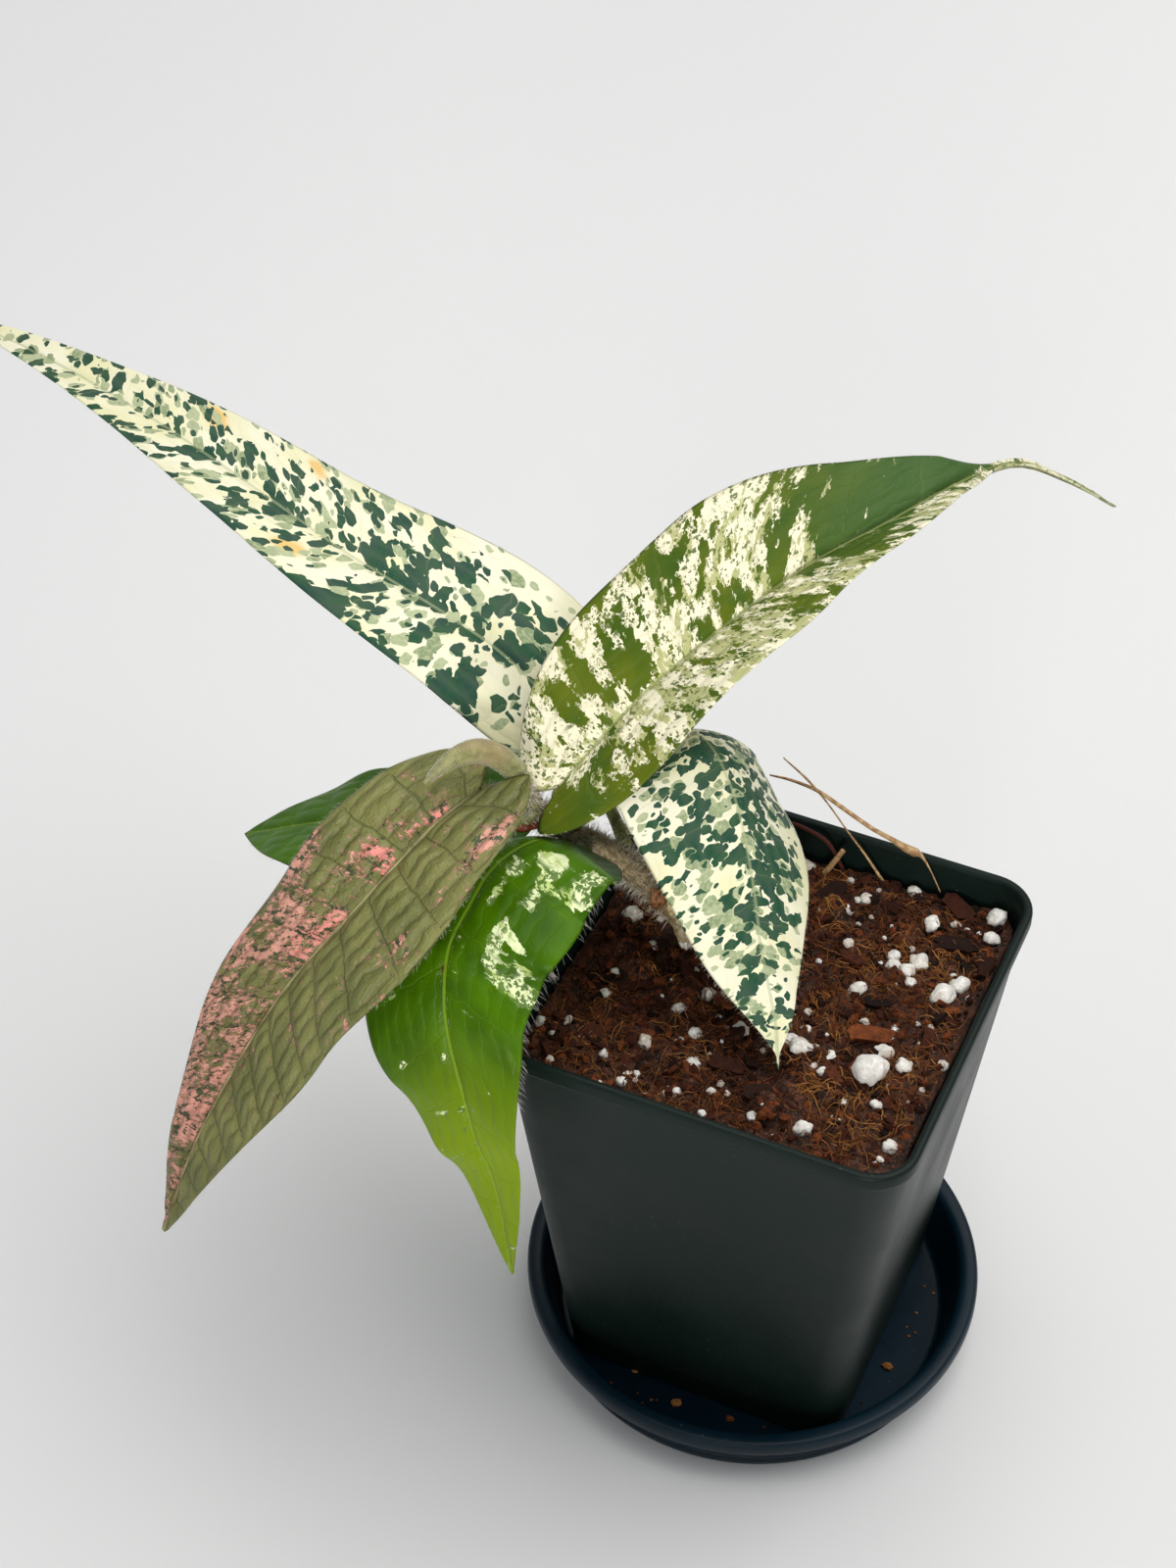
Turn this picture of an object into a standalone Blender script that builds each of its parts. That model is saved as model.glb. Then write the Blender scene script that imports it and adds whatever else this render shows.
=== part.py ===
"""A young variegated fig in a square nursery pot, standing on a round saucer.

Run it with: blender --background --python part.py
Sizes are in millimetres and become metres only when a mesh is made. The origin is on the
table under the middle of the saucer, +Z is up, and -Y is the side that faces the viewer.
"""

import math
import random

import bmesh
import bpy
from mathutils import Matrix, Vector, noise

MM = 0.001  # Blender's unit is the metre
GAP = 0.3  # kept between two pieces that touch

# Saucer, a turned dish with a rolled rim
SAUCER_RADIUS = 52.0
SAUCER_HEIGHT = 15.0
SAUCER_RIM_WIDTH = 3.8
SAUCER_APRON = 3.7
SAUCER_FLOOR = 2.0
SAUCER_FOOT_RADIUS = 46.5
SAUCER_FLOOR_RADIUS = 44.6

# Pot, square with rounded corners
POT_RIM_HALF = 45.0
POT_RIM_HEIGHT = 112.6
POT_RIM_BAND = 4.2
POT_RIM_LEDGE = 1.3
POT_FOOT_HALF = 32.7
POT_FOOT_HEIGHT = 2.0
POT_WALL = 1.2
POT_CORNER_TOP = 8.8
POT_CORNER_FOOT = 6.4
POT_DRAIN_RADIUS = 4.0
POT_DRAIN_OFFSET = 19.0
POT_BASE = SAUCER_FLOOR + GAP

# Potting mix
SOIL_MIDDLE = 105.5
SOIL_SLOPE = (0.035, -0.04)  # it stands higher at the right and at the front
SOIL_RINGS = 15
SOIL_LUMPS = 44
SOIL_LUMP_SIZES = (2.4, 4.6)
STEM_HOLE_CLEARANCE = 0.3

# Stem: points up its axis with the radius there
STEM = (
    ((-12, 3, 90), 2.7),
    ((-16, 4.5, 97), 2.7),
    ((-20, 6, 104), 2.7),
    ((-24, 7.5, 111), 2.7),
    ((-32, 8.5, 117), 3.0),
    ((-38, 5.5, 124), 2.6),
    ((-43.5, 3.5, 128.5), 2.5),
    ((-49, -1, 134.5), 2.0),
    ((-53, -4, 143), 1.6),
    ((-54.5, -5.5, 147.5), 1.5),
)
STEM_BURIED_POINTS = 4

BLADE_THICKNESS = 0.7
BLADE_ROWS = 16
BLADE_COLUMNS = 4  # on each side of the midrib

# Each leaf: "rib" is the midrib from the base of the blade to its tip, "face" is the way
# the upper surface looks from base to tip, and "width" is the widest reach of the left and
# the right half. "fold" lifts a half towards the face, in degrees from base to tip.
LEAVES = {
    "leaf_back_left": dict(
        rib=((-55, 19, 145), (-74, 22, 157), (-107, 20, 173), (-132, 22, 183),
             (-159, 27, 189), (-190, 33, 192), (-216, 38, 191)),
        face=((0.1, -0.3, 1), (0, -0.2, 1), (0, 0, 1)),
        width=(16.5, 21.5), fold=((8, 8, 8), (8, 0, 0)), camber=(10, 10),
        lobe=(9, 9), widest=(0.18, 0.2), bulge=(1.12, 1.2), drip=0.0, tail=3.4,
        notch=0.3, wave=0.6, stem_at=(-38, 6, 124), stalk=(1.4, 1.2),
    ),
    "leaf_right": dict(
        rib=((-47.5, -1.5, 146.5), (-39.5, 9.5, 158.5), (-31.5, 20.5, 167.5), (-15, 43.5, 180),
             (-2, 58.5, 186), (8, 76, 187.5), (15.5, 92, 184), (24.5, 101.5, 176),
             (34.5, 109.5, 166)),
        face=((0, 0, 1),),
        width=(24, 18), fold=((28, 34, 32, 24), (5, 24, 26, 26)), camber=(10, 8),
        lobe=(5, 10), widest=(0.48, 0.42), bulge=(1.65, 1.75), drip=0.24, tail=2.6,
        notch=0.3, wave=1.0, stem_at=(-47, 0.5, 132.5), stalk=(1.4, 1.1),
    ),
    "leaf_low_right": dict(
        rib=((-36, 20.5, 145.5), (-29, 18.5, 152.5), (-21, 15, 154), (-12.5, 8, 148),
             (-5, -1, 138), (1, -9.5, 127), (7.5, -18, 118.5), (11.5, -25, 111.5)),
        face=((0, 0, 1), (0.4, -0.4, 0.9), (0.5, -0.6, 0.5), (0.4, -0.7, 0.3)),
        width=(23, 23.5), fold=((-34, -34, -18, -28), (3, 0, 0, 0)), camber=(18, 8),
        lobe=(5, 8), widest=(0.5, 0.3), bulge=(1.05, 1.9), drip=0.03, tail=1.6,
        notch=0.3, wave=1.0, stem_at=(-32, 8.5, 117), stalk=(1.4, 1.1),
    ),
    "leaf_front_drooping": dict(
        rib=((-43.5, -2, 132), (-47, -8, 138), (-50, -16, 141), (-52.5, -24, 140.5),
             (-53, -32, 138.5), (-53.5, -40.5, 134.5), (-52, -46.5, 128), (-49.5, -50.5, 120),
             (-45, -54, 108), (-41.5, -55.5, 96), (-37.5, -56, 85), (-32.5, -59, 61)),
        face=((0, 0, 1), (-0.2, -0.5, 1), (-0.3, -1, 0.2)),
        width=(23, 22), camber=(10, 10),
        fold=((12, 14, 4, 2, -8, 14, 18, 14, 8, 0, 0), (-35, -10, 0, 0, 0)),
        lobe=(7, 3), widest=(0.3, 0.36), bulge=(1.2, 1.4), drip=0.0, tail=2.2,
        notch=0.8, wave=0.4, stem_at=(-44.5, 2.7, 129.6), stalk=(1.2, 0.9),
    ),
    "leaf_young_red": dict(
        rib=((-59, -14, 152), (-64, -26, 150), (-74, -43, 137), (-86, -56, 118),
             (-97, -72.5, 89.5), (-102, -82.5, 66.5)),
        face=((-0.2, -0.4, 1), (-0.3, -0.5, 0.8)),
        width=(21, 18), fold=((15, 15, 12), (24, 24, 12)), camber=(12, 12),
        lobe=(9, 7), widest=(0.42, 0.26), bulge=(1.9, 1.9), drip=0.0, tail=2.4,
        notch=0.7, wave=0.8, stem_at=(-52, -3.5, 141), stalk=(1.2, 1.0),
    ),
    "leaf_left_green": dict(
        rib=((-64, 7.5, 125.5), (-79, 2, 123.5), (-100, -1, 116), (-125, -1.5, 102)),
        face=((0, 0, 1),),
        width=(18, 18), fold=((8, 8, 5), (8, 8, 5)), camber=(10, 10),
        lobe=(7, 7), widest=(0.4, 0.4), bulge=(2.3, 2.0), drip=0.0, tail=3.0,
        notch=0.5, wave=1.0, stem_at=(-41, 4.5, 126), stalk=(1.2, 1.0),
    ),
}
CURVE_STEPS = 12  # points between two given points of a smooth curve
VEIN_LEAD = 0.13  # how far a side vein runs forward, as a share of the blade
WAVES = 3.0

# Bud: a folded spear that arches over the top of the stem
BUD = (
    ((-54.8, -6, 148.3), 1.6),
    ((-55, -7, 153), 2.2),
    ((-57, -10, 158.5), 2.4),
    ((-59.5, -13.5, 162), 2.3),
    ((-61.5, -17.5, 163.5), 2.0),
    ((-64, -20.5, 162), 1.3),
    ((-66.5, -23.5, 159), 0.4),
)


def clear_scene():
    for old in list(bpy.data.objects):
        bpy.data.objects.remove(old, do_unlink=True)


def new_collection(name):
    made = bpy.data.collections.new(name)
    bpy.context.scene.collection.children.link(made)
    return made


def new_material(name, colour, roughness, metallic=0.0):
    made = bpy.data.materials.new(name)
    made.use_nodes = True
    shader = made.node_tree.nodes["Principled BSDF"]
    shader.inputs["Base Color"].default_value = (*colour, 1.0)
    shader.inputs["Roughness"].default_value = roughness
    shader.inputs["Metallic"].default_value = metallic
    made.diffuse_color = (*colour, 1.0)
    return made


def add_object(name, mesh, material, collection, sharp_angle=40):
    mesh.materials.clear()
    mesh.materials.append(material)
    mesh.shade_smooth()
    mesh.set_sharp_from_angle(angle=math.radians(sharp_angle))
    made = bpy.data.objects.new(name, mesh)
    collection.objects.link(made)
    return made


def mesh_from(name, points, faces, outward=True):
    """A mesh in metres from points in millimetres; outward turns its faces out."""
    mesh = bpy.data.meshes.new(name)
    mesh.from_pydata([Vector(p) * MM for p in points], [], faces)
    if outward:
        shape = bmesh.new()
        shape.from_mesh(mesh)
        bmesh.ops.recalc_face_normals(shape, faces=shape.faces)
        shape.to_mesh(mesh)
        shape.free()
    return mesh


def evaluated_copy(source, name):
    """The object's mesh as its modifiers leave it, with a curve's caps welded on."""
    bpy.context.view_layer.update()
    graph = bpy.context.evaluated_depsgraph_get()
    mesh = bpy.data.meshes.new_from_object(source.evaluated_get(graph))
    mesh.name = name
    shape = bmesh.new()
    shape.from_mesh(mesh)
    bmesh.ops.remove_doubles(shape, verts=shape.verts, dist=0.00001)
    shape.to_mesh(mesh)
    shape.free()
    return mesh


def unite(body, extra):
    """Joins extra to body with a Boolean union, keeps the result and removes extra."""
    join = body.modifiers.new("union", "BOOLEAN")
    join.operation = "UNION"
    join.object = extra
    body.data = evaluated_copy(body, body.name)
    body.modifiers.clear()
    bpy.data.objects.remove(extra, do_unlink=True)


def cut(body, cutters):
    """Cuts the hidden cutters out of body."""
    for number, cutter in enumerate(cutters):
        cutter.hide_render = True
        cutter.display_type = "WIRE"
        bite = body.modifiers.new(f"cut_{number}", "BOOLEAN")
        bite.operation = "DIFFERENCE"
        bite.object = cutter


def tube_mesh(name, stations, sides_resolution=1):
    """A round bar through (point, radius) stations, as a closed mesh."""
    data = bpy.data.curves.new(name, "CURVE")
    data.dimensions = "3D"
    data.bevel_depth = MM
    data.bevel_resolution = sides_resolution
    data.use_fill_caps = True
    line = data.splines.new("POLY")
    line.points.add(len(stations) - 1)
    for spot, (place, radius) in zip(line.points, stations):
        spot.co = (*(Vector(place) * MM), 1.0)
        spot.radius = radius
    holder = bpy.data.objects.new(name, data)
    bpy.context.scene.collection.objects.link(holder)
    mesh = evaluated_copy(holder, name)
    bpy.data.objects.remove(holder, do_unlink=True)
    return mesh


def smooth_line(points):
    """Close points on a smooth curve through the given points (Catmull-Rom)."""
    knots = [Vector(p) for p in points]
    knots = [2 * knots[0] - knots[1], *knots, 2 * knots[-1] - knots[-2]]
    line = []
    for a, b, c, d in zip(knots, knots[1:], knots[2:], knots[3:]):
        for k in range(CURVE_STEPS):
            t = k / CURVE_STEPS
            line.append(0.5 * (2 * b + (c - a) * t + (2 * a - 5 * b + 4 * c - d) * t * t
                               + (3 * b - a - 3 * c + d) * t ** 3))
    line.append(knots[-2])
    return line


def smooth_stations(stations, count):
    """count (point, radius) stations, evenly spaced along the curve through a few."""
    line = MeasuredLine([place for place, _ in stations])
    radii = [radius for _, radius in stations]
    made = []
    for k in range(count):
        distance = line.length * k / (count - 1)
        made.append((line.at(distance), line.blend_at(distance, radii)))
    return made


class MeasuredLine:
    """A smooth curve that can be read at a distance along it, in millimetres."""

    def __init__(self, points):
        self.line = smooth_line(points)
        self.runs = [0.0]
        for a, b in zip(self.line, self.line[1:]):
            self.runs.append(self.runs[-1] + (b - a).length)
        self.length = self.runs[-1]

    def at(self, distance):
        if distance <= 0:
            return self.line[0] + self.heading(0) * distance
        if distance >= self.length:
            return self.line[-1] + self.heading(self.length) * (distance - self.length)
        k = 1
        while self.runs[k] < distance:
            k += 1
        share = (distance - self.runs[k - 1]) / (self.runs[k] - self.runs[k - 1])
        return self.line[k - 1].lerp(self.line[k], share)

    def blend_at(self, distance, values):
        """A value between those given for the curve's own points."""
        knots = self.runs[::CURVE_STEPS]
        k = 1
        while k < len(knots) - 1 and knots[k] < distance:
            k += 1
        share = min(max((distance - knots[k - 1]) / (knots[k] - knots[k - 1]), 0.0), 1.0)
        return values[k - 1] + (values[k] - values[k - 1]) * share

    def heading(self, distance):
        reach = 1.5
        low = max(distance - reach, 0.0)
        high = min(distance + reach, self.length)
        if distance <= 0:
            low, high = 0.0, reach
        if distance >= self.length:
            low, high = self.length - reach, self.length
        return (self.at_inside(high) - self.at_inside(low)).normalized()

    def at_inside(self, distance):
        k = 1
        while k < len(self.runs) - 1 and self.runs[k] < distance:
            k += 1
        share = (distance - self.runs[k - 1]) / (self.runs[k] - self.runs[k - 1])
        return self.line[k - 1].lerp(self.line[k], share)


def rounded_square(half, corner, height, arc_steps=5):
    """Points around a square of the given half side, with arcs at its corners."""
    ring = []
    for quarter in range(4):
        for step in range(arc_steps + 1):
            angle = math.pi / 2 * (quarter + step / arc_steps)
            side_x = 1 if quarter in (0, 3) else -1
            side_y = 1 if quarter in (0, 1) else -1
            ring.append((side_x * (half - corner) + corner * math.cos(angle),
                         side_y * (half - corner) + corner * math.sin(angle), height))
    return ring


def loft(name, rings):
    """Skins rings of equal length and closes the first and the last with a face."""
    size = len(rings[0])
    points = [p for ring in rings for p in ring]
    faces = []
    for k in range(len(rings) - 1):
        for i in range(size):
            j = (i + 1) % size
            faces.append((k * size + i, k * size + j, (k + 1) * size + j, (k + 1) * size + i))
    faces.append(tuple(range(size)))
    last = (len(rings) - 1) * size
    faces.append(tuple(range(last, last + size)))
    return mesh_from(name, points, faces)


def make_saucer(collection):
    """Half of the dish's section, from the rim down its outside, turned by a Screw."""
    rim_inner = SAUCER_RADIUS - SAUCER_RIM_WIDTH
    apron_foot = SAUCER_HEIGHT - SAUCER_APRON
    profile = [
        (0.0, SAUCER_FLOOR),
        (SAUCER_FLOOR_RADIUS - 1.0, SAUCER_FLOOR),
        (SAUCER_FLOOR_RADIUS, SAUCER_FLOOR + 1.0),
        (rim_inner - 0.5, SAUCER_HEIGHT - 1.0),
        (rim_inner, SAUCER_HEIGHT - 0.2),
        (rim_inner + 1.2, SAUCER_HEIGHT),
        (SAUCER_RADIUS - 1.2, SAUCER_HEIGHT - 0.1),
        (SAUCER_RADIUS - 0.3, SAUCER_HEIGHT - 0.8),
        (SAUCER_RADIUS, SAUCER_HEIGHT - 1.8),
        (SAUCER_RADIUS, apron_foot),
        (SAUCER_RADIUS - 1.2, apron_foot),
        (SAUCER_RADIUS - 1.8, apron_foot + 0.6),
        (SAUCER_FOOT_RADIUS + 0.6, 0.6),
        (SAUCER_FOOT_RADIUS, 0.0),
        (0.0, 0.0),
    ]
    mesh = bpy.data.meshes.new("saucer")
    points = [Vector((x, 0, z)) * MM for x, z in profile]
    mesh.from_pydata(points, [(k, k + 1) for k in range(len(points) - 1)], [])
    plastic = new_material("saucer_plastic", (0.014, 0.022, 0.030), 0.42)
    made = add_object("saucer", mesh, plastic, collection)
    turn = made.modifiers.new("turn", "SCREW")
    turn.steps = 48
    turn.render_steps = turn.steps
    turn.use_merge_vertices = True
    turn.merge_threshold = 0.00005
    return made


def pot_half_at(height):
    """Half side of the pot's outer wall at a height."""
    share = (height - POT_BASE) / (POT_RIM_HEIGHT - POT_RIM_BAND - POT_BASE)
    return POT_FOOT_HALF + (POT_RIM_HALF - POT_RIM_LEDGE - POT_FOOT_HALF) * share


def pot_corner_at(height):
    share = (height - POT_BASE) / (POT_RIM_HEIGHT - POT_BASE)
    return POT_CORNER_FOOT + (POT_CORNER_TOP - POT_CORNER_FOOT) * share


def make_pot(collection, helpers):
    ledge = POT_RIM_HEIGHT - POT_RIM_BAND
    floor_under = POT_BASE + POT_FOOT_HEIGHT
    floor_top = floor_under + POT_WALL
    sections = [
        (POT_FOOT_HALF - 1.8, floor_under),
        (POT_FOOT_HALF - 1.5, POT_BASE),
        (POT_FOOT_HALF - 0.4, POT_BASE),
        (POT_FOOT_HALF, POT_BASE + 0.5),
        (pot_half_at(ledge), ledge),
        (POT_RIM_HALF, ledge + 0.5),
        (POT_RIM_HALF, POT_RIM_HEIGHT - 0.7),
        (POT_RIM_HALF - 0.5, POT_RIM_HEIGHT),
        (POT_RIM_HALF - 1.5, POT_RIM_HEIGHT),
        (POT_RIM_HALF - 2.0, POT_RIM_HEIGHT - 0.7),
        (pot_half_at(ledge) - POT_WALL, ledge - 1.0),
        (pot_half_at(floor_top) - POT_WALL, floor_top + 0.6),
        (pot_half_at(floor_top) - POT_WALL - 0.6, floor_top),
    ]
    rings = []
    for half, height in sections:
        corner = pot_corner_at(height) + half - pot_half_at(min(height, ledge))
        rings.append(rounded_square(half, corner, height))
    plastic = new_material("pot_plastic", (0.016, 0.022, 0.021), 0.38)
    pot = add_object("pot", loft("pot", rings), plastic, collection)
    cutters = []
    spots = [(0, 0)]
    spots += [(x * POT_DRAIN_OFFSET, y * POT_DRAIN_OFFSET) for x in (-1, 1) for y in (-1, 1)]
    for x, y in spots:
        drill = bmesh.new()
        bmesh.ops.create_cone(drill, cap_ends=True, segments=16, radius1=POT_DRAIN_RADIUS * MM,
                              radius2=POT_DRAIN_RADIUS * MM, depth=8 * MM,
                              matrix=Matrix.Translation(Vector((x, y, floor_under)) * MM))
        mesh = bpy.data.meshes.new("drain_drill")
        drill.to_mesh(mesh)
        drill.free()
        cutter = bpy.data.objects.new("drain_drill", mesh)
        helpers.objects.link(cutter)
        cutters.append(cutter)
    cut(pot, cutters)
    return pot


def soil_height(x, y, lumps):
    """Height of the mix at a place: a slope, fine relief and seeded lumps of bark."""
    level = SOIL_MIDDLE + SOIL_SLOPE[0] * x + SOIL_SLOPE[1] * y
    level += 1.1 * noise.noise(Vector((x, y, 0)) * 0.11)
    level += 0.7 * noise.noise(Vector((x, y, 9)) * 0.31)
    for lump_x, lump_y, size in lumps:
        near = 1 - ((x - lump_x) ** 2 + (y - lump_y) ** 2) / size ** 2
        if near > 0:
            level += 0.45 * size * math.sqrt(near)
    return level


def make_soil(collection, helpers):
    draw = random.Random(7)
    top = pot_half_at(SOIL_MIDDLE - 4) - POT_WALL - GAP
    stem_x, stem_y, _ = STEM[2][0]
    lumps = []
    for _ in range(SOIL_LUMPS):
        x = draw.uniform(-top + 5, top - 5)
        y = draw.uniform(-top + 5, top - 5)
        size = draw.uniform(*SOIL_LUMP_SIZES)
        if math.hypot(x - stem_x, y - stem_y) > 12:
            lumps.append((x, y, size))
    floor = POT_BASE + POT_FOOT_HEIGHT + POT_WALL + GAP
    inset = POT_WALL + GAP
    base_half = pot_half_at(floor) - inset - 0.7
    outline = dense_square(top, pot_corner_at(SOIL_MIDDLE) - inset - 0.3, 8)
    rings = [[(0.0, 0.0)]]
    rings += [[(x * k / SOIL_RINGS, y * k / SOIL_RINGS) for x, y in outline]
              for k in range(1, SOIL_RINGS + 1)]
    points = []
    for ring in rings:
        for x, y in ring:
            points.append((x, y, soil_height(x, y, lumps)))
    size = len(outline)
    faces = [(0, 1 + i, 1 + (i + 1) % size) for i in range(size)]
    for k in range(SOIL_RINGS - 1):
        for i in range(size):
            a = 1 + k * size + i
            b = 1 + k * size + (i + 1) % size
            faces.append((a, a + size, b + size))
            faces.append((a, b + size, b))
    last = 1 + (SOIL_RINGS - 1) * size
    base = len(points)
    points += [(x, y, floor) for x, y in dense_square(base_half, POT_CORNER_FOOT - inset - 0.7, 8)]
    for i in range(size):
        j = (i + 1) % size
        faces.append((last + i, base + i, base + j))
        faces.append((last + i, base + j, last + j))
    faces.append(tuple(range(base, base + size)))
    mix = new_material("potting_mix", (0.085, 0.030, 0.016), 0.9)
    soil = add_object("soil", mesh_from("soil", points, faces), mix, collection)
    foot, mouth = Vector(STEM[0][0]), Vector(STEM[STEM_BURIED_POINTS - 1][0])
    along = (mouth - foot).normalized()
    hole = tube_mesh("stem_hole", [
        (foot - along * 0.6, STEM[0][1] + STEM_HOLE_CLEARANCE + 0.1),
        (mouth + along * 3, STEM[0][1] + STEM_HOLE_CLEARANCE + 0.1),
    ], sides_resolution=4)
    cutter = bpy.data.objects.new("stem_hole", hole)
    helpers.objects.link(cutter)
    cut(soil, [cutter])
    return soil


def dense_square(half, corner, steps):
    """Plain (x, y) points around a rounded square: arcs, and points along the flats."""
    ring = []
    corners = rounded_square(half, corner, 0, arc_steps=3)
    for k, (x, y, _) in enumerate(corners):
        ring.append((x, y))
        if k % 4 == 3:
            next_x, next_y, _ = corners[(k + 1) % len(corners)]
            for step in range(1, steps):
                share = step / steps
                ring.append((x + (next_x - x) * share, y + (next_y - y) * share))
    return ring


def body_width(share, widest, bulge):
    """Half width of the blade as a share of its widest, from its lobe to its tip."""
    if share < widest:
        return (1 - (1 - share / widest) ** 2.3) ** (1 / 2.3)
    fall = min((share - widest) / (1 - widest), 1.0)
    return 1 - fall ** bulge


def margin_point(leaf, length, share, side):
    """The flat outline of one half, as (across, along) in millimetres."""
    body = leaf["width"][side] * body_width(
        share / (1 - leaf["drip"]), leaf["widest"][side], leaf["bulge"][side])
    tail = leaf["tail"] * (1 - share) ** 0.5
    lobe = leaf["lobe"][side]
    return math.hypot(body, tail), -lobe + (length + lobe) * share


def flat_point(leaf, length, s, u, side):
    """A point of the flat blade: s runs up the midrib, u out along a side vein."""
    fullness = body_width(s / (1 - leaf["drip"]), leaf["widest"][side], leaf["bulge"][side])
    reach = min(1.0, s + VEIN_LEAD * math.sin(math.pi * s) * (1 - 0.3 * s) * fullness)
    edge_x, edge_y = margin_point(leaf, length, 0.012 + 0.988 * reach, side)
    rib_y = s * length
    bend_x = edge_x * 0.5
    bend_y = rib_y + (edge_y - rib_y) * 0.38
    base_share = max(1 - s / 0.12, 0.0)  # the first veins curl round into the lobes
    bend_x += (edge_x * leaf["notch"] - bend_x) * base_share
    bend_y += (rib_y - leaf["lobe"][side] * 1.3 - bend_y) * base_share
    x = 2 * u * (1 - u) * bend_x + u * u * edge_x
    y = (1 - u) ** 2 * rib_y + 2 * u * (1 - u) * bend_y + u * u * edge_y
    return x, y


def blend_list(values, share):
    """A value between those listed from base to tip, eased from one to the next."""
    if len(values) == 1:
        return values[0]
    place = share * (len(values) - 1)
    k = min(int(place), len(values) - 2)
    ease = place - k
    ease = ease * ease * (3 - 2 * ease)
    return values[k] * (1 - ease) + values[k + 1] * ease


def blade_point(leaf, rib, x, y, side):
    """Lifts a flat point onto the folded, arching blade."""
    share = min(max(y / rib.length, 0.0), 1.0)
    along = rib.heading(y)
    face = blend_list([Vector(f) for f in leaf["face"]], share)
    normal = (face - along * face.dot(along)).normalized()
    across = along.cross(normal) * (1 if side else -1)
    part = x / leaf["width"][side]
    lift = math.radians(blend_list(leaf["fold"][side], share) - leaf["camber"][side] * part)
    margin, _ = margin_point(leaf, rib.length, min(share + 0.02, 1.0), side)
    lift *= min(margin / 6, 1.0)  # a narrow tip lies flat
    wave = leaf["wave"] * part * part * math.sin(2 * math.pi * (WAVES * share + 0.5 * side))
    return rib.at(y) + across * x * math.cos(lift) + normal * (x * math.sin(lift) + wave)


def make_leaf(name, leaf, material, collection):
    """A thin blade on a grid that follows the side veins, with its stalk and midrib."""
    rib = MeasuredLine(leaf["rib"])
    points = []
    for row in range(BLADE_ROWS):
        s = row / BLADE_ROWS
        for column in range(-BLADE_COLUMNS, BLADE_COLUMNS + 1):
            side = 1 if column > 0 else 0
            x, y = flat_point(leaf, rib.length, s, abs(column) / BLADE_COLUMNS, side)
            points.append(blade_point(leaf, rib, x, y, side))
    tip = len(points)
    points.append(rib.at(rib.length))
    across = 2 * BLADE_COLUMNS + 1
    faces = []
    for row in range(BLADE_ROWS - 1):
        for k in range(across - 1):
            a = row * across + k
            b = a + across
            if k < BLADE_COLUMNS:
                faces += [(a, a + 1, b), (a + 1, b + 1, b)]
            else:
                faces += [(a, a + 1, b + 1), (a, b + 1, b)]
    last = (BLADE_ROWS - 1) * across
    faces += [(last + k, last + k + 1, tip) for k in range(across - 1)]
    blade = add_object(name, mesh_from(name, points, faces, outward=False),
                       material, collection)
    thicken = blade.modifiers.new("thickness", "SOLIDIFY")
    thicken.thickness = BLADE_THICKNESS * MM
    thicken.offset = 0.0
    blade.data = evaluated_copy(blade, name)
    blade.modifiers.clear()
    stalk = bpy.data.objects.new(name + "_stalk", tube_mesh(name + "_stalk",
                                                            stalk_stations(leaf, rib)))
    collection.objects.link(stalk)
    unite(blade, stalk)
    blade.data.shade_smooth()
    blade.data.set_sharp_from_angle(angle=math.radians(40))
    return blade


def stem_axis_near(place):
    """The stem's axis point, its heading and its radius nearest to a place."""
    stations = smooth_stations(STEM, 60)
    best = min(range(1, 59), key=lambda k: (stations[k][0] - place).length)
    heading = (stations[best + 1][0] - stations[best - 1][0]).normalized()
    return stations[best][0], heading, stations[best][1]


def stalk_stations(leaf, rib):
    """The stalk leaves the stem squarely, curves up to the blade and sinks in under it."""
    thick, thin = leaf["stalk"]
    root, stem_heading, stem_radius = stem_axis_near(Vector(leaf["stem_at"]))
    base = rib.at(0)
    outward = base - root
    outward = (outward - stem_heading * outward.dot(stem_heading)).normalized()
    start = root + outward * (stem_radius + GAP + 0.4)
    line = MeasuredLine([start, start + outward * 3, base - rib.heading(0) * 2, base])
    stations = [(line.at(line.length * k / 5), thick + (thin - thick) * k / 5)
                for k in range(5)]
    for k in range(9):
        share = k / 8
        distance = rib.length * 0.6 * share
        along = rib.heading(distance)
        face = blend_list([Vector(f) for f in leaf["face"]], distance / rib.length)
        normal = (face - along * face.dot(along)).normalized()
        radius = thin + (0.45 - thin) * share
        stations.append((rib.at(distance) - normal * (radius - 0.1), radius))
    return stations


def make_stem(collection):
    bark = new_material("hairy_bark", (0.10, 0.055, 0.030), 0.85)
    buried = [(Vector(place), radius) for place, radius in STEM[:STEM_BURIED_POINTS]]
    free = smooth_stations(STEM, 30)
    mouth_height = buried[-1][0].z
    stations = buried + [s for s in free if s[0].z > mouth_height + 1.5]
    mesh = tube_mesh("stem", stations, sides_resolution=3)
    return add_object("stem", mesh, bark, collection)


def make_bud(collection):
    """A tapering horn with a crease down its outer side, where its two edges meet."""
    stations = smooth_stations(BUD, 14)
    line = MeasuredLine([place for place, _ in BUD])
    sides = 12
    rings = []
    for k, (place, radius) in enumerate(stations):
        along = line.heading(line.length * k / 13)
        flat = along.cross(Vector((0.9, -0.4, 0))).normalized()
        wide = flat.cross(along)
        ring = []
        for i in range(sides):
            angle = 2 * math.pi * i / sides
            crease = 0.82 if i == 3 else 1.0
            ring.append(place + flat * math.cos(angle) * radius * 1.1
                        + wide * math.sin(angle) * radius * crease)
        rings.append(ring)
    skin = new_material("bud_sheath", (0.30, 0.30, 0.12), 0.6)
    return add_object("bud", loft("bud", rings), skin, collection)


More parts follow.
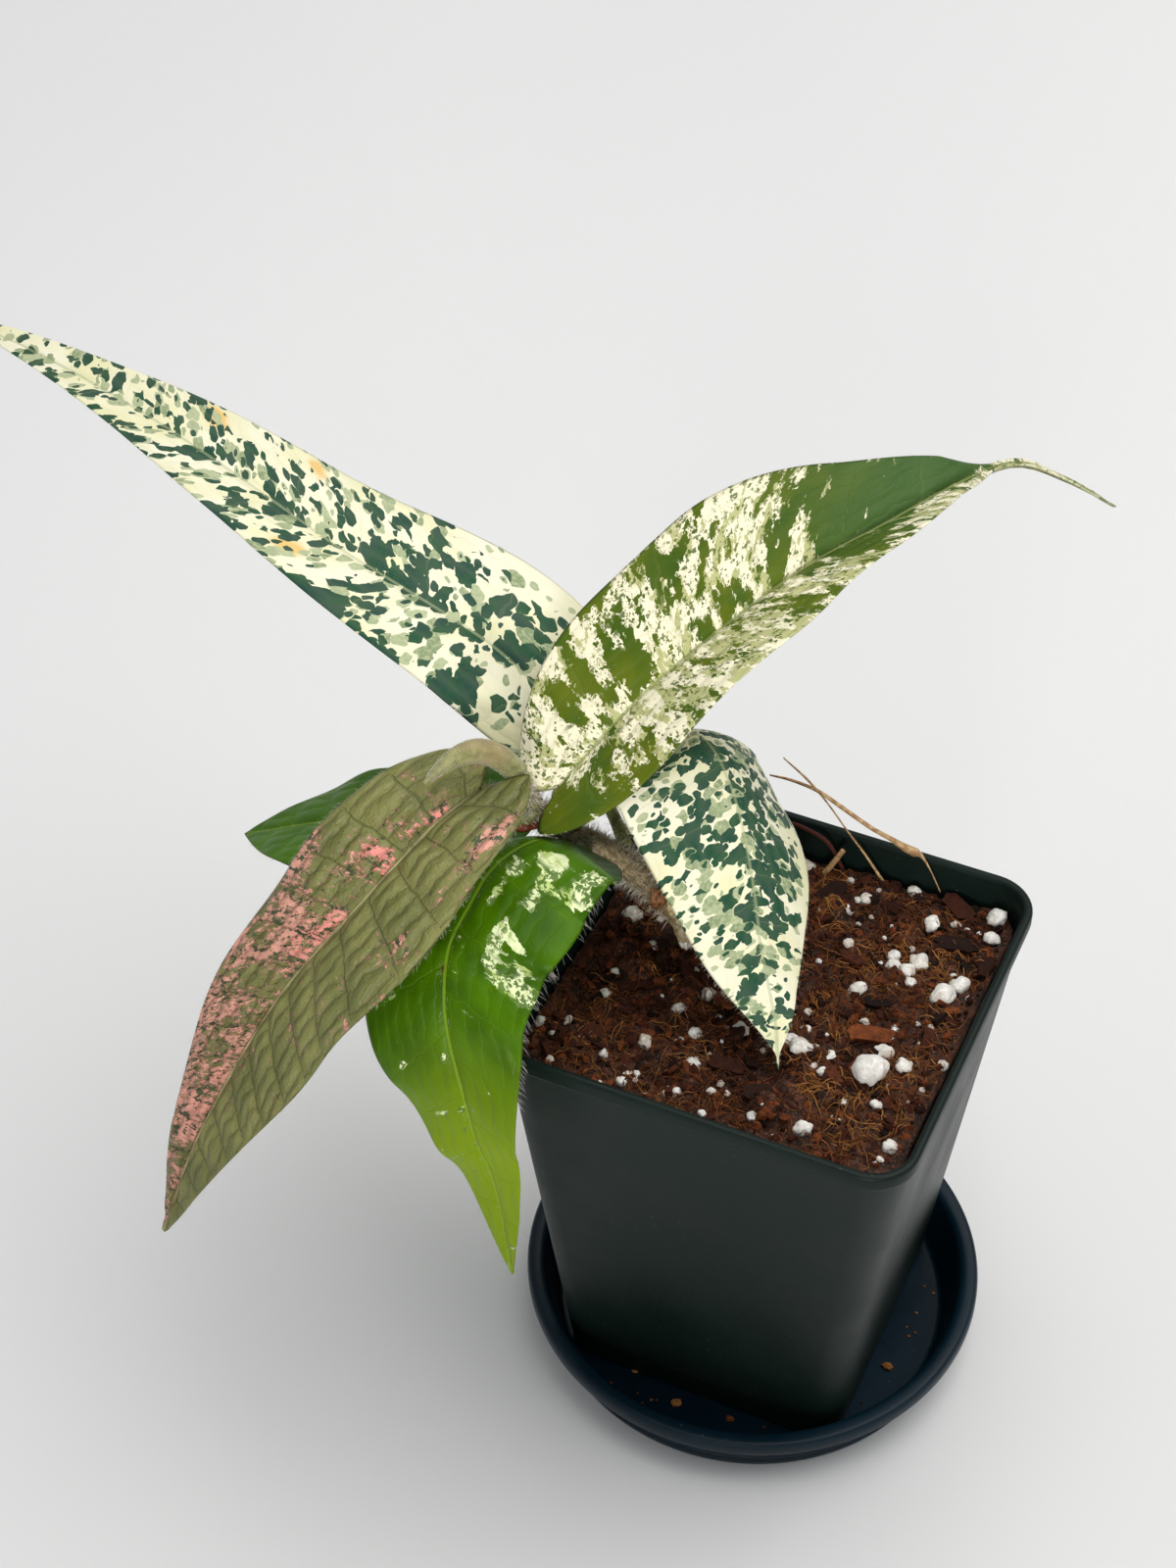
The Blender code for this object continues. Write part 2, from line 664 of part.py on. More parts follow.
def main():
    clear_scene()
    collection = new_collection("potted_ficus")
    helpers = new_collection("cutters")
    make_saucer(collection)
    make_pot(collection, helpers)
    make_soil(collection, helpers)
    make_stem(collection)
    marbled = new_material("leaf_marbled", (0.55, 0.58, 0.38), 0.55)
    speckled = new_material("leaf_speckled", (0.23, 0.32, 0.10), 0.4)
    bright = new_material("leaf_bright", (0.13, 0.36, 0.02), 0.35)
    young = new_material("leaf_young", (0.19, 0.16, 0.09), 0.5)
    plain = new_material("leaf_plain", (0.06, 0.22, 0.03), 0.4)
    finish = {
        "leaf_back_left": marbled,
        "leaf_right": speckled,
        "leaf_low_right": marbled,
        "leaf_front_drooping": bright,
        "leaf_young_red": young,
        "leaf_left_green": plain,
    }
    for name, leaf in LEAVES.items():
        make_leaf(name, leaf, finish[name], collection)
    make_bud(collection)


main()
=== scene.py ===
# %% [markdown]
# A young variegated fig in a nursery pot
#
# The plant is a cutting with six long hairy leaves, no two alike: two are cream with dark
# blotches, one is olive with cream speckles, one is bright green, one is young and still
# reddish, and one is plain. It stands in bark and perlite in a square black pot on a round
# saucer. A fixed frame of plain solids gives every size and place. This script loads that
# frame and puts a finely modelled piece over each plain one.

# %% Load the fixed frame
import math
import random

import bmesh
import bpy
import numpy as np
from mathutils import Matrix, Vector, noise


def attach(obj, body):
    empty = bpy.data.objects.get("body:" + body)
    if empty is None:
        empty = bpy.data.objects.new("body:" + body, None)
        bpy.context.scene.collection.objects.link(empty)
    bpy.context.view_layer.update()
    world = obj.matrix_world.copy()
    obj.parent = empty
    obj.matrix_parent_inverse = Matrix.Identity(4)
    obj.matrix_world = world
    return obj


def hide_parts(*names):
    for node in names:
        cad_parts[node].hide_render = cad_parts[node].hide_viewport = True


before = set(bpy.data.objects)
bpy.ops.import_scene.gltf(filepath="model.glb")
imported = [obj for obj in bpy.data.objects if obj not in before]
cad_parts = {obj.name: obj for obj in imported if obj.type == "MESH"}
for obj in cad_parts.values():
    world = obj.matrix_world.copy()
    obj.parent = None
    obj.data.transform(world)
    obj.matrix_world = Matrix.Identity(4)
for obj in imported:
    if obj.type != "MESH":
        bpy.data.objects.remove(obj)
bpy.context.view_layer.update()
MM = 0.001  # the frame is in metres, and the sizes below are in millimetres

# %% [markdown]
# The camera comes first, because some grains of perlite are placed by where the picture
# shows them. The picture was taken from above and from the right, with a moderately long
# lens. The focal length, the place and the turn of the camera were found from the pot's
# rim, its foot and the saucer.

# %% Camera
CAMERA_AT = Vector((128.67, -377.9, 539.5)) * MM
CAMERA_PAN = 24.265  # degrees to the left of +Y
CAMERA_DIP = 43.35  # degrees below the horizon
FOCAL_LENGTH = 64.47  # millimetres, for a sensor 36 mm on its long side
PICTURE = (1200, 1600)

lens = bpy.data.cameras.new("camera")
lens.lens = FOCAL_LENGTH
lens.sensor_width = 36.0
lens.clip_start = 0.01
camera = bpy.data.objects.new("camera", lens)
camera.location = CAMERA_AT
camera.rotation_euler = (math.radians(90 - CAMERA_DIP), 0, math.radians(CAMERA_PAN))
bpy.context.scene.collection.objects.link(camera)
bpy.context.scene.camera = camera
bpy.context.view_layer.update()


def sight_line(x, y):
    """The direction in which the camera sees a point of the picture, given in pixels."""
    focal_pixels = PICTURE[1] * FOCAL_LENGTH / 36.0
    way = Vector(((x - PICTURE[0] / 2) / focal_pixels, (PICTURE[1] / 2 - y) / focal_pixels, -1))
    return camera.matrix_world.to_3x3() @ way


print("camera at", [round(v, 3) for v in camera.location])

# %% [markdown]
# Materials are built from small sums of noise, cells and masks. Writing those sums as
# Python expressions keeps them readable, so one small class wraps a number socket and adds
# a Math node for each operator. A second class holds a material while it is built, and its
# one method for nodes sets the node's options first and its sockets after.

# %% Shader values as Python expressions
class Value:
    """A number socket of a material that can be used in a sum."""

    def __init__(self, look, socket):
        self.look = look
        self.socket = socket

    def math(self, operation, *terms):
        return self.look.node("ShaderNodeMath", {"operation": operation}, dict(enumerate(terms)))

    def __add__(self, other):
        return self.math("ADD", self, other)

    def __sub__(self, other):
        return self.math("SUBTRACT", self, other)

    def __rsub__(self, other):
        return self.math("SUBTRACT", other, self)

    def __mul__(self, other):
        return self.math("MULTIPLY", self, other)

    def __truediv__(self, other):
        return self.math("DIVIDE", self, other)

    __radd__ = __add__
    __rmul__ = __mul__

    def size(self):
        return self.math("ABSOLUTE", self)

    def highest(self, other):
        return self.math("MAXIMUM", self, other)

    def lowest(self, other):
        return self.math("MINIMUM", self, other)

    def whole(self):
        return self.math("FLOOR", self)

    def to_nearest(self):
        """Distance to the nearest whole number, from 0 to 0.5."""
        return self.math("PINGPONG", self, 0.5)

    def step(self, low, high, start=0.0, end=1.0):
        """A smooth rise from start to end as the value goes from low to high."""
        sockets = {"Value": self, "From Min": low, "From Max": high,
                   "To Min": start, "To Max": end}
        return self.look.node("ShaderNodeMapRange", {"interpolation_type": "SMOOTHSTEP"}, sockets)


class Look:
    """A material while it is built: every node comes from its method node."""

    def __init__(self, name, roughness=0.5, **constants):
        self.material = bpy.data.materials.new(name)
        self.material.use_nodes = True
        self.tree = self.material.node_tree
        self.shader = self.tree.nodes["Principled BSDF"]
        self.shader.inputs["Roughness"].default_value = roughness
        for socket, value in constants.items():
            self.shader.inputs[socket.replace("_", " ")].default_value = value

    def feed(self, socket, value):
        if isinstance(value, Value):
            self.tree.links.new(value.socket, socket)
        else:
            socket.default_value = value

    def node(self, kind, settings=None, sockets=None, output=0):
        made = self.tree.nodes.new(kind)
        for name, value in (settings or {}).items():
            setattr(made, name, value)
        for name, value in (sockets or {}).items():
            self.feed(made.inputs[name], value)
        return Value(self, made.outputs[output])

    def attribute(self, name, output="Vector"):
        return self.node("ShaderNodeAttribute", {"attribute_name": name}, output=output)

    def parts(self, vector):
        """The three numbers of a vector."""
        split = self.node("ShaderNodeSeparateXYZ", None, {0: vector}).socket.node
        return [Value(self, socket) for socket in split.outputs]

    def vector(self, x, y, z=0.0):
        return self.node("ShaderNodeCombineXYZ", None, {0: x, 1: y, 2: z})

    def combine(self, operation, first, second):
        return self.node("ShaderNodeVectorMath", {"operation": operation}, {0: first, 1: second})

    def position(self):
        """Where on the object a point is, in metres."""
        return self.node("ShaderNodeTexCoord", None, None, "Object")

    def noise(self, where, scale, detail=2.0, roughness=0.5, output=0):
        sockets = {"Vector": where, "Scale": scale, "Detail": detail, "Roughness": roughness}
        return self.node("ShaderNodeTexNoise", None, sockets, output)

    def cells(self, where, scale, output="Distance", feature="F1"):
        sockets = {"Vector": where, "Scale": scale}
        return self.node("ShaderNodeTexVoronoi", {"feature": feature}, sockets, output)

    def mix(self, share, first, second):
        """A colour between two, by a share from 0 to 1."""
        return self.node("ShaderNodeMix", {"data_type": "RGBA"}, {0: share, 6: first, 7: second}, 2)

    def colour(self, value):
        self.feed(self.shader.inputs["Base Color"], value)

    def roughness(self, value):
        self.feed(self.shader.inputs["Roughness"], value)

    def relief(self, height, depth):
        """Turns a height from 0 to 1 into relief of the given depth in millimetres."""
        sockets = {"Height": height, "Distance": depth * MM, "Strength": 1.0}
        bump = self.node("ShaderNodeBump", None, sockets)
        self.feed(self.shader.inputs["Normal"], bump)


def paint(code):
    """A colour from its usual six-digit code, as Blender's linear red, green and blue."""
    made = []
    for k in (0, 2, 4):
        share = int(code[k:k + 2], 16) / 255
        made.append(share / 12.92 if share <= 0.04045 else ((share + 0.055) / 1.055) ** 2.4)
    return (*made, 1.0)


# %% [markdown]
# Every piece is a mesh that is made here, gets its materials, and then rides on the body
# of the frame that carries it. A round bar, such as a stalk or a root, is a run of rings
# along a curve, so one function makes the points and the faces of any of them.

# %% Making pieces
def add_piece(name, points, faces, looks, replaces=(), smooth=True):
    """An object in metres from points in millimetres, riding on the root body."""
    mesh = bpy.data.meshes.new(name)
    mesh.from_pydata([tuple(c * MM for c in p) for p in points], [], faces)
    for look in looks:
        mesh.materials.append(look.material)
    mesh.polygons.foreach_set("use_smooth", [smooth] * len(mesh.polygons))
    mesh.update()
    made = bpy.data.objects.new(name, mesh)
    bpy.context.scene.collection.objects.link(made)
    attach(made, "root")
    if replaces:
        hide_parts(*replaces)
    triangles = sum(len(face) - 2 for face in faces)
    print(f"{name}: {triangles} triangles")
    return made


def rings_to_faces(rings, size):
    """Faces between neighbouring rings of points, with a face at each end."""
    faces = []
    for k in range(rings - 1):
        a = k * size
        for i in range(size):
            j = (i + 1) % size
            faces.append((a + i, a + j, a + size + j, a + size + i))
    faces.append(tuple(range(size - 1, -1, -1)))
    faces.append(tuple(range((rings - 1) * size, rings * size)))
    return faces


def tube(stations, sides):
    """The points and faces of a round bar through (point, radius) stations."""
    points = []
    side = Vector((0.31, 0.21, 0.93))
    for k, (place, radius) in enumerate(stations):
        before = Vector(stations[max(k - 1, 0)][0])
        after = Vector(stations[min(k + 1, len(stations) - 1)][0])
        along = (after - before).normalized()
        side = (side - along * side.dot(along)).normalized()
        other = along.cross(side)
        for i in range(sides):
            angle = 2 * math.pi * i / sides
            out = side * math.cos(angle) + other * math.sin(angle)
            points.append(Vector(place) + out * radius)
    return points, rings_to_faces(len(stations), sides)


class Pile:
    """Points and faces of many small shapes that become one piece."""

    def __init__(self):
        self.points = []
        self.faces = []

    def add(self, points, faces):
        first = len(self.points)
        self.points.extend(points)
        self.faces.extend(tuple(i + first for i in face) for face in faces)


# %% [markdown]
# The smooth curves follow a Catmull-Rom rule: they go through each given point, and between
# two points they take their direction from the neighbours. A midrib, the stem and a straw
# are all such curves. The curve is turned into close points, and from the summed distances
# between them it can be read at any distance along it, for a whole array of distances.

# %% Smooth curves
CURVE_STEPS = 12
HEADING_REACH = 1.5  # the direction at a point is taken over this much on each side


def smooth_line(points):
    knots = np.array(points, float)
    knots = np.vstack([2 * knots[0] - knots[1], knots, 2 * knots[-1] - knots[-2]])
    t = (np.arange(CURVE_STEPS) / CURVE_STEPS)[:, None]
    line = []
    for a, b, c, d in zip(knots, knots[1:], knots[2:], knots[3:]):
        line.append(0.5 * (2 * b + (c - a) * t + (2 * a - 5 * b + 4 * c - d) * t ** 2
                           + (3 * b - a - 3 * c + d) * t ** 3))
    return np.vstack([*line, knots[-2:-1]])


def unit(vectors):
    return vectors / np.linalg.norm(vectors, axis=-1, keepdims=True)


class MeasuredLine:
    """A smooth curve that is read at a distance along it."""

    def __init__(self, points):
        self.line = smooth_line(points)
        steps = np.linalg.norm(np.diff(self.line, axis=0), axis=1)
        self.runs = np.concatenate([[0.0], np.cumsum(steps)])
        self.length = self.runs[-1]

    def inside(self, distance):
        return np.stack([np.interp(distance, self.runs, axis) for axis in self.line.T], -1)

    def heading(self, distance):
        low = np.clip(distance - HEADING_REACH, 0, self.length - HEADING_REACH)
        high = np.clip(distance + HEADING_REACH, HEADING_REACH, self.length)
        return unit(self.inside(high) - self.inside(low))

    def at(self, distance):
        distance = np.asarray(distance, float)
        beyond = distance - np.clip(distance, 0, self.length)
        return self.inside(distance) + self.heading(distance) * beyond[..., None]

    def blend(self, distance, values):
        """A value between those given for the curve's own points."""
        return np.interp(distance, self.runs[::CURVE_STEPS], values)

    def stops(self, count):
        """Distance, place and heading at even steps from one end to the other."""
        for k in range(count):
            distance = self.length * k / (count - 1)
            yield distance, Vector(self.at(distance)), Vector(self.heading(distance))


# %% [markdown]
# The leaves of this fig are long and pointed, with two lobes at the base. Side veins leave
# the midrib and curve towards the tip, and the blade swells a little between them. All
# patterns follow the veins too, so the blade is laid out on a grid whose lines are the side
# veins: one direction runs up the midrib and the other out along a vein. The flat grid is
# then lifted onto the arching midrib. Each leaf is only a short list of numbers for that
# one rule: its midrib, the way it faces, its width, its fold and its lobes.

# %% Leaf shapes
LEAVES = {
    "leaf_back_left": dict(
        rib=((-55, 19, 145), (-74, 22, 157), (-107, 20, 173), (-132, 22, 183),
             (-159, 27, 189), (-190, 33, 192), (-216, 38, 191)),
        face=((0.1, -0.3, 1), (0, -0.2, 1), (0, 0, 1)),
        width=(16.5, 21.5), fold=((8, 8, 8), (8, 0, 0)), camber=(10, 10),
        lobe=(9, 9), widest=(0.18, 0.2), bulge=(1.12, 1.2), drip=0.0, tail=3.4,
        notch=0.3, wave=0.6, stem_at=(-38, 6, 124), stalk=(1.4, 1.2),
    ),
    "leaf_right": dict(
        rib=((-47.5, -1.5, 146.5), (-39.5, 9.5, 158.5), (-31.5, 20.5, 167.5), (-15, 43.5, 180),
             (-2, 58.5, 186), (8, 76, 187.5), (15.5, 92, 184), (24.5, 101.5, 176),
             (34.5, 109.5, 166)),
        face=((0, 0, 1),),
        width=(24, 18), fold=((28, 34, 32, 24), (5, 24, 26, 26)), camber=(10, 8),
        lobe=(5, 10), widest=(0.48, 0.42), bulge=(1.65, 1.75), drip=0.24, tail=2.6,
        notch=0.3, wave=1.0, stem_at=(-47, 0.5, 132.5), stalk=(1.4, 1.1),
    ),
    "leaf_low_right": dict(
        rib=((-36, 20.5, 145.5), (-29, 18.5, 152.5), (-21, 15, 154), (-12.5, 8, 148),
             (-5, -1, 138), (1, -9.5, 127), (7.5, -18, 118.5), (11.5, -25, 111.5)),
        face=((0, 0, 1), (0.4, -0.4, 0.9), (0.5, -0.6, 0.5), (0.4, -0.7, 0.3)),
        width=(23, 23.5), fold=((-34, -34, -18, -28), (3, 0, 0, 0)), camber=(18, 8),
        lobe=(5, 8), widest=(0.5, 0.3), bulge=(1.05, 1.9), drip=0.03, tail=1.6,
        notch=0.3, wave=1.0, stem_at=(-32, 8.5, 117), stalk=(1.4, 1.1),
    ),
    "leaf_front_drooping": dict(
        rib=((-43.5, -2, 132), (-47, -8, 138), (-50, -16, 141), (-52.5, -24, 140.5),
             (-53, -32, 138.5), (-53.5, -40.5, 134.5), (-52, -46.5, 128), (-49.5, -50.5, 120),
             (-45, -54, 108), (-41.5, -55.5, 96), (-37.5, -56, 85), (-32.5, -59, 61)),
        face=((0, 0, 1), (-0.2, -0.5, 1), (-0.3, -1, 0.2)),
        width=(23, 22), camber=(10, 10),
        fold=((12, 14, 4, 2, -8, 14, 18, 14, 8, 0, 0), (-35, -10, 0, 0, 0)),
        lobe=(7, 3), widest=(0.3, 0.36), bulge=(1.2, 1.4), drip=0.0, tail=2.2,
        notch=0.8, wave=0.4, stem_at=(-44.5, 2.7, 129.6), stalk=(1.2, 0.9),
    ),
    "leaf_young_red": dict(
        rib=((-59, -14, 152), (-64, -26, 150), (-74, -43, 137), (-86, -56, 118),
             (-97, -72.5, 89.5), (-102, -82.5, 66.5)),
        face=((-0.2, -0.4, 1), (-0.3, -0.5, 0.8)),
        width=(21, 18), fold=((15, 15, 12), (24, 24, 12)), camber=(12, 12),
        lobe=(9, 7), widest=(0.42, 0.26), bulge=(1.9, 1.9), drip=0.0, tail=2.4,
        notch=0.7, wave=0.8, stem_at=(-52, -3.5, 141), stalk=(1.2, 1.0),
    ),
    "leaf_left_green": dict(
        rib=((-64, 7.5, 125.5), (-79, 2, 123.5), (-100, -1, 116), (-125, -1.5, 102)),
        face=((0, 0, 1),),
        width=(18, 18), fold=((8, 8, 5), (8, 8, 5)), camber=(10, 10),
        lobe=(7, 7), widest=(0.4, 0.4), bulge=(2.3, 2.0), drip=0.0, tail=3.0,
        notch=0.5, wave=1.0, stem_at=(-41, 4.5, 126), stalk=(1.2, 1.0),
    ),
}
VEIN_LEAD = 0.13  # how far a side vein runs forward, as a share of the blade
WAVES = 3.0


def body_width(share, widest, bulge):
    """Half width of the blade as a share of its widest, from its lobe to its tip."""
    rise = (1 - np.clip(1 - share / widest, 0, 1) ** 2.3) ** (1 / 2.3)
    fall = np.clip((share - widest) / (1 - widest), 0, 1)
    return np.where(share < widest, rise, 1 - fall ** bulge)


def margin_point(leaf, length, share, side):
    """The flat outline of one half, as (across, along) in millimetres."""
    body = leaf["width"][side] * body_width(
        share / (1 - leaf["drip"]), leaf["widest"][side], leaf["bulge"][side])
    tail = leaf["tail"] * np.clip(1 - share, 0, 1) ** 0.5
    lobe = leaf["lobe"][side]
    return np.hypot(body, tail), -lobe + (length + lobe) * share


def flat_point(leaf, length, s, u, side):
    """A point of the flat blade: s runs up the midrib, u out along a side vein."""
    fullness = body_width(s / (1 - leaf["drip"]), leaf["widest"][side], leaf["bulge"][side])
    lead = VEIN_LEAD * np.sin(np.pi * s) * (1 - 0.3 * s) * fullness
    edge_x, edge_y = margin_point(leaf, length, 0.012 + 0.988 * np.clip(s + lead, 0, 1), side)
    rib_y = s * length
    bend_x = edge_x * 0.5
    bend_y = rib_y + (edge_y - rib_y) * 0.38
    base_share = np.clip(1 - s / 0.12, 0, 1)  # the first veins curl round into the lobes
    bend_x = bend_x + (edge_x * leaf["notch"] - bend_x) * base_share
    bend_y = bend_y + (rib_y - leaf["lobe"][side] * 1.3 - bend_y) * base_share
    x = 2 * u * (1 - u) * bend_x + u * u * edge_x
    y = (1 - u) ** 2 * rib_y + 2 * u * (1 - u) * bend_y + u * u * edge_y
    return x, y


def blend_list(values, share):
    """A value between those listed from base to tip, eased from one to the next."""
    values = np.array(values, float)
    if len(values) == 1:
        return np.broadcast_to(values[0], (*share.shape, *values.shape[1:]))
    place = share * (len(values) - 1)
    k = np.clip(place.astype(int), 0, len(values) - 2)
    ease = place - k
    ease = ease * ease * (3 - 2 * ease)
    if values.ndim > 1:
        ease = ease[..., None]
    return values[k] * (1 - ease) + values[k + 1] * ease


def upper_normal(leaf, rib, distance):
    """The way the upper surface looks along the midrib, square to it."""
    along = rib.heading(distance)
    face = blend_list(leaf["face"], np.clip(distance / rib.length, 0, 1))
    return unit(face - along * (face * along).sum(-1, keepdims=True))


def blade_point(leaf, rib, x, y, side):
    """Lifts flat points onto the folded, arching blade."""
    share = np.clip(y / rib.length, 0, 1)
    normal = upper_normal(leaf, rib, y)
    across = np.cross(rib.heading(y), normal) * (1 if side else -1)
    part = x / leaf["width"][side]
    lift = np.radians(blend_list(leaf["fold"][side], share) - leaf["camber"][side] * part)
    margin, _ = margin_point(leaf, rib.length, np.clip(share + 0.02, 0, 1), side)
    lift = lift * np.clip(margin / 6, 0, 1)  # a narrow tip lies flat
    wave = leaf["wave"] * part ** 2 * np.sin(2 * np.pi * (WAVES * share + 0.5 * side))
    rise = (x * np.sin(lift) + wave)[..., None]
    return rib.at(y) + across * (x * np.cos(lift))[..., None] + normal * rise


# %% [markdown]
# A blade has an upper and a lower surface that meet at the margin. Both are the same grid,
# pushed apart by half the thickness. The upper surface sinks into a groove over the midrib
# and over each side vein and swells between them, and the young leaf does so most. Cross
# veins divide the swelling into small cushions. Every corner of every face also remembers
# where it is on the leaf: which side vein it is near, how far out it is, and on which
# surface. The materials read their patterns from that.

# %% Blade and leaf coordinates
BLADE_THICKNESS = 0.42
MIDRIB_GROOVE = 0.35
CROSS_VEIN_SPACING = 3.6
CROSS_VEIN_SHIFT = 0.37  # of a spacing, from one band between side veins to the next


def vein_number(leaf, s, side):
    """A number that is whole on each side vein, with the two halves out of step."""
    return s * leaf["veins"] + (0.5 if side else 0.12)


def swelling(leaf, number, u, x, reach):
    """Height of the blade above its plain shape, in millimetres."""
    between = np.abs(number - np.round(number))
    cushion = np.sin(np.pi * between) ** 0.8 * (1 + 0.25 * np.sin(number * 5.3 + u * 4))
    ladder = reach / CROSS_VEIN_SPACING + np.floor(number) * CROSS_VEIN_SHIFT
    cross = 0.8 - 0.2 * np.cos(2 * np.pi * ladder)
    fade = np.clip((1 - u) * 5, 0, 1) * np.clip(u * 8, 0, 1)
    groove = MIDRIB_GROOVE * np.exp(-((x / 1.1) ** 2))
    return leaf["quilt"] * cushion * cross * fade - groove


def half_grid(leaf, rib, rows, columns, side):
    """Places, leaf coordinates and swelling of one half of the blade."""
    s, u = np.meshgrid(np.arange(rows) / rows, np.arange(columns + 1) / columns, indexing="ij")
    x, y = flat_point(leaf, rib.length, s, u, side)
    places = blade_point(leaf, rib, x, y, side)
    steps = np.hypot(np.diff(x, axis=1), np.diff(y, axis=1))
    reach = np.concatenate([np.zeros((rows, 1)), np.cumsum(steps, axis=1)], axis=1)
    number = vein_number(leaf, s, side)
    rise = swelling(leaf, number, u, x, reach)
    rise *= np.clip(s * 12, 0, 1)
    sign = 1 if side else -1
    coordinates = {
        "vein_place": np.stack([number, u * sign, np.zeros_like(u)], -1),
        "leaf_flow": np.stack([reach * sign, s * rib.length, s], -1),
        "tint": np.stack([zone_field(leaf, s, u * sign, key)
                          for key in ("pale", "blush", "dark")], -1),
    }
    return places, rise, coordinates


def zone_field(leaf, s, u, key):
    """How strongly the zones listed for a leaf mark a place: each zone fades outwards."""
    field = np.full(np.shape(s), float(leaf.get(key + "_base", 0.0)))
    for at_s, at_u, reach_s, reach_u, amount in leaf.get(key, ()):
        field += amount * np.exp(-((s - at_s) / reach_s) ** 2 - ((u - at_u) / reach_u) ** 2)
    return field


def grid_normals(places):
    """Normals of a grid of places, from its rows and columns."""
    along = np.gradient(places, axis=0)
    out = np.gradient(places, axis=1)
    out[:, 0] = places[:, 1] - places[:, 0]
    normals = np.cross(along, out)
    size = np.linalg.norm(normals, axis=-1, keepdims=True)
    return normals / np.maximum(size, 1e-9)


def make_blade(leaf, rows, columns):
    """Points, faces and corner coordinates of a closed thin blade."""
    rib = MeasuredLine(leaf["rib"])
    halves = [half_grid(leaf, rib, rows, columns, side) for side in (0, 1)]
    normals = [grid_normals(halves[0][0]) * -1, grid_normals(halves[1][0])]
    for side in (0, 1):
        up = upper_normal(leaf, rib, np.arange(rows) / rows * rib.length)
        if (normals[side][:, 1] * up).sum() < 0:
            normals[side] = -normals[side]
        normals[side][:, 0] = up
    width = 2 * columns + 1
    upper = np.zeros((rows, width, 3))
    lower = np.zeros((rows, width, 3))
    for side, (places, rise, _) in enumerate(halves):
        inside = np.ones((rows, columns + 1, 1))
        inside[:, -1] = 0
        inside[0] = 0
        half = BLADE_THICKNESS / 2
        raised = places + normals[side] * (rise[..., None] + half) * inside
        sunk = places + normals[side] * (rise[..., None] * 0.8 - half) * inside
        order = slice(columns, None) if side else slice(columns, None, -1)
        upper[:, order] = raised
        lower[:, order] = sunk
    points = [*upper.reshape(-1, 3), *lower.reshape(-1, 3), rib.at(rib.length)]
    tip = len(points) - 1

    def index(row, column, below):
        edge = row == 0 or column in (0, width - 1)
        return row * width + column + (rows * width if below and not edge else 0)

    faces = []
    corners = []
    for below in (False, True):
        for row in range(rows):
            for column in range(width - 1):
                spots = [(row, column), (row, column + 1), (row + 1, column + 1), (row + 1, column)]
                if row == rows - 1:
                    spots = spots[:2] + [None]
                if below:
                    spots.reverse()
                faces.append(tuple(tip if spot is None else index(*spot, below)
                                   for spot in spots))
                side = 1 if column >= columns else 0
                corners.append((side, below, spots))
    return rib, halves, points, faces, corners


def corner_values(halves, columns, rows, corners, key):
    """One vector per face corner, read from the half of the leaf that the face is in."""
    values = []
    for side, below, spots in corners:
        grid = halves[side][2][key]
        for spot in spots:
            if spot is None:
                value = grid[rows - 1, 0].copy()
            else:
                value = grid[spot[0], abs(spot[1] - columns)].copy()
            if key == "vein_place":
                value[2] = float(below)
            values.append(value)
    return np.array(values)


# %% [markdown]
# The stalk leaves the stem, turns up to the blade and goes on under it as the midrib, which
# stands out on the lower side. It is one tapering bar whose rings follow both.

# %% Stalk and midrib
STEM = (
    ((-12, 3, 90), 2.7),
    ((-16, 4.5, 97), 2.7),
    ((-20, 6, 104), 2.7),
    ((-24, 7.5, 111), 2.7),
    ((-32, 8.5, 117), 3.0),
    ((-38, 5.5, 124), 2.6),
    ((-43.5, 3.5, 128.5), 2.5),
    ((-49, -1, 134.5), 2.0),
    ((-53, -4, 143), 1.6),
    ((-54.5, -5.5, 147.5), 1.5),
)
stem_line = MeasuredLine([place for place, _ in STEM])
stem_radii = [radius for _, radius in STEM]


def stem_near(place):
    """The stem's axis point, its heading and its radius nearest to a place."""
    spots = np.linspace(0, stem_line.length, 120)
    near = spots[np.argmin(np.linalg.norm(stem_line.at(spots) - np.array(place), axis=1))]
    return stem_line.at(near), stem_line.heading(near), stem_line.blend(near, stem_radii)


MIDRIB_SINK = 0.3  # from the blade's middle down to the top of the bar
STALK_STATIONS = 12
MIDRIB_STATIONS = 40


def stalk_stations(leaf, rib):
    thick, thin = leaf["stalk"]
    root, stem_heading, stem_radius = stem_near(leaf["stem_at"])
    base = rib.at(0.0)
    outward = base - root
    outward = unit(outward - stem_heading * outward.dot(stem_heading))
    start = root + outward * (stem_radius - 0.4)
    under = upper_normal(leaf, rib, np.array(0.0)) * -(thin + MIDRIB_SINK)
    end = base + under
    line = MeasuredLine([start, start + outward * 3, end - rib.heading(0.0) * 2, end])
    stations = []
    for k in range(STALK_STATIONS):
        share = k / STALK_STATIONS
        swell = 1 + 0.35 * max(0, 1 - k / 3)
        stations.append((line.at(line.length * share), (thick + (thin - thick) * share) * swell))
    for k in range(MIDRIB_STATIONS):
        share = k / (MIDRIB_STATIONS - 1)
        distance = rib.length * 0.96 * share
        radius = thin * (1 - share) ** 0.7 + 0.12
        normal = upper_normal(leaf, rib, np.array(distance))
        stations.append((rib.at(distance) - normal * (radius + MIDRIB_SINK), radius))
    return [(Vector(place), float(radius)) for place, radius in stations]


# %% [markdown]
# Each leaf also lists its material slot, the number and length of its hairs, how many side
# veins it has, how deeply it is quilted, and the zones where it is marked. A zone is given
# in leaf coordinates: its place along the midrib, its place out to the side with minus for
# the half on the left, its reach both ways and its strength. The ragged edges of the
# markings come later, from noise in the material.

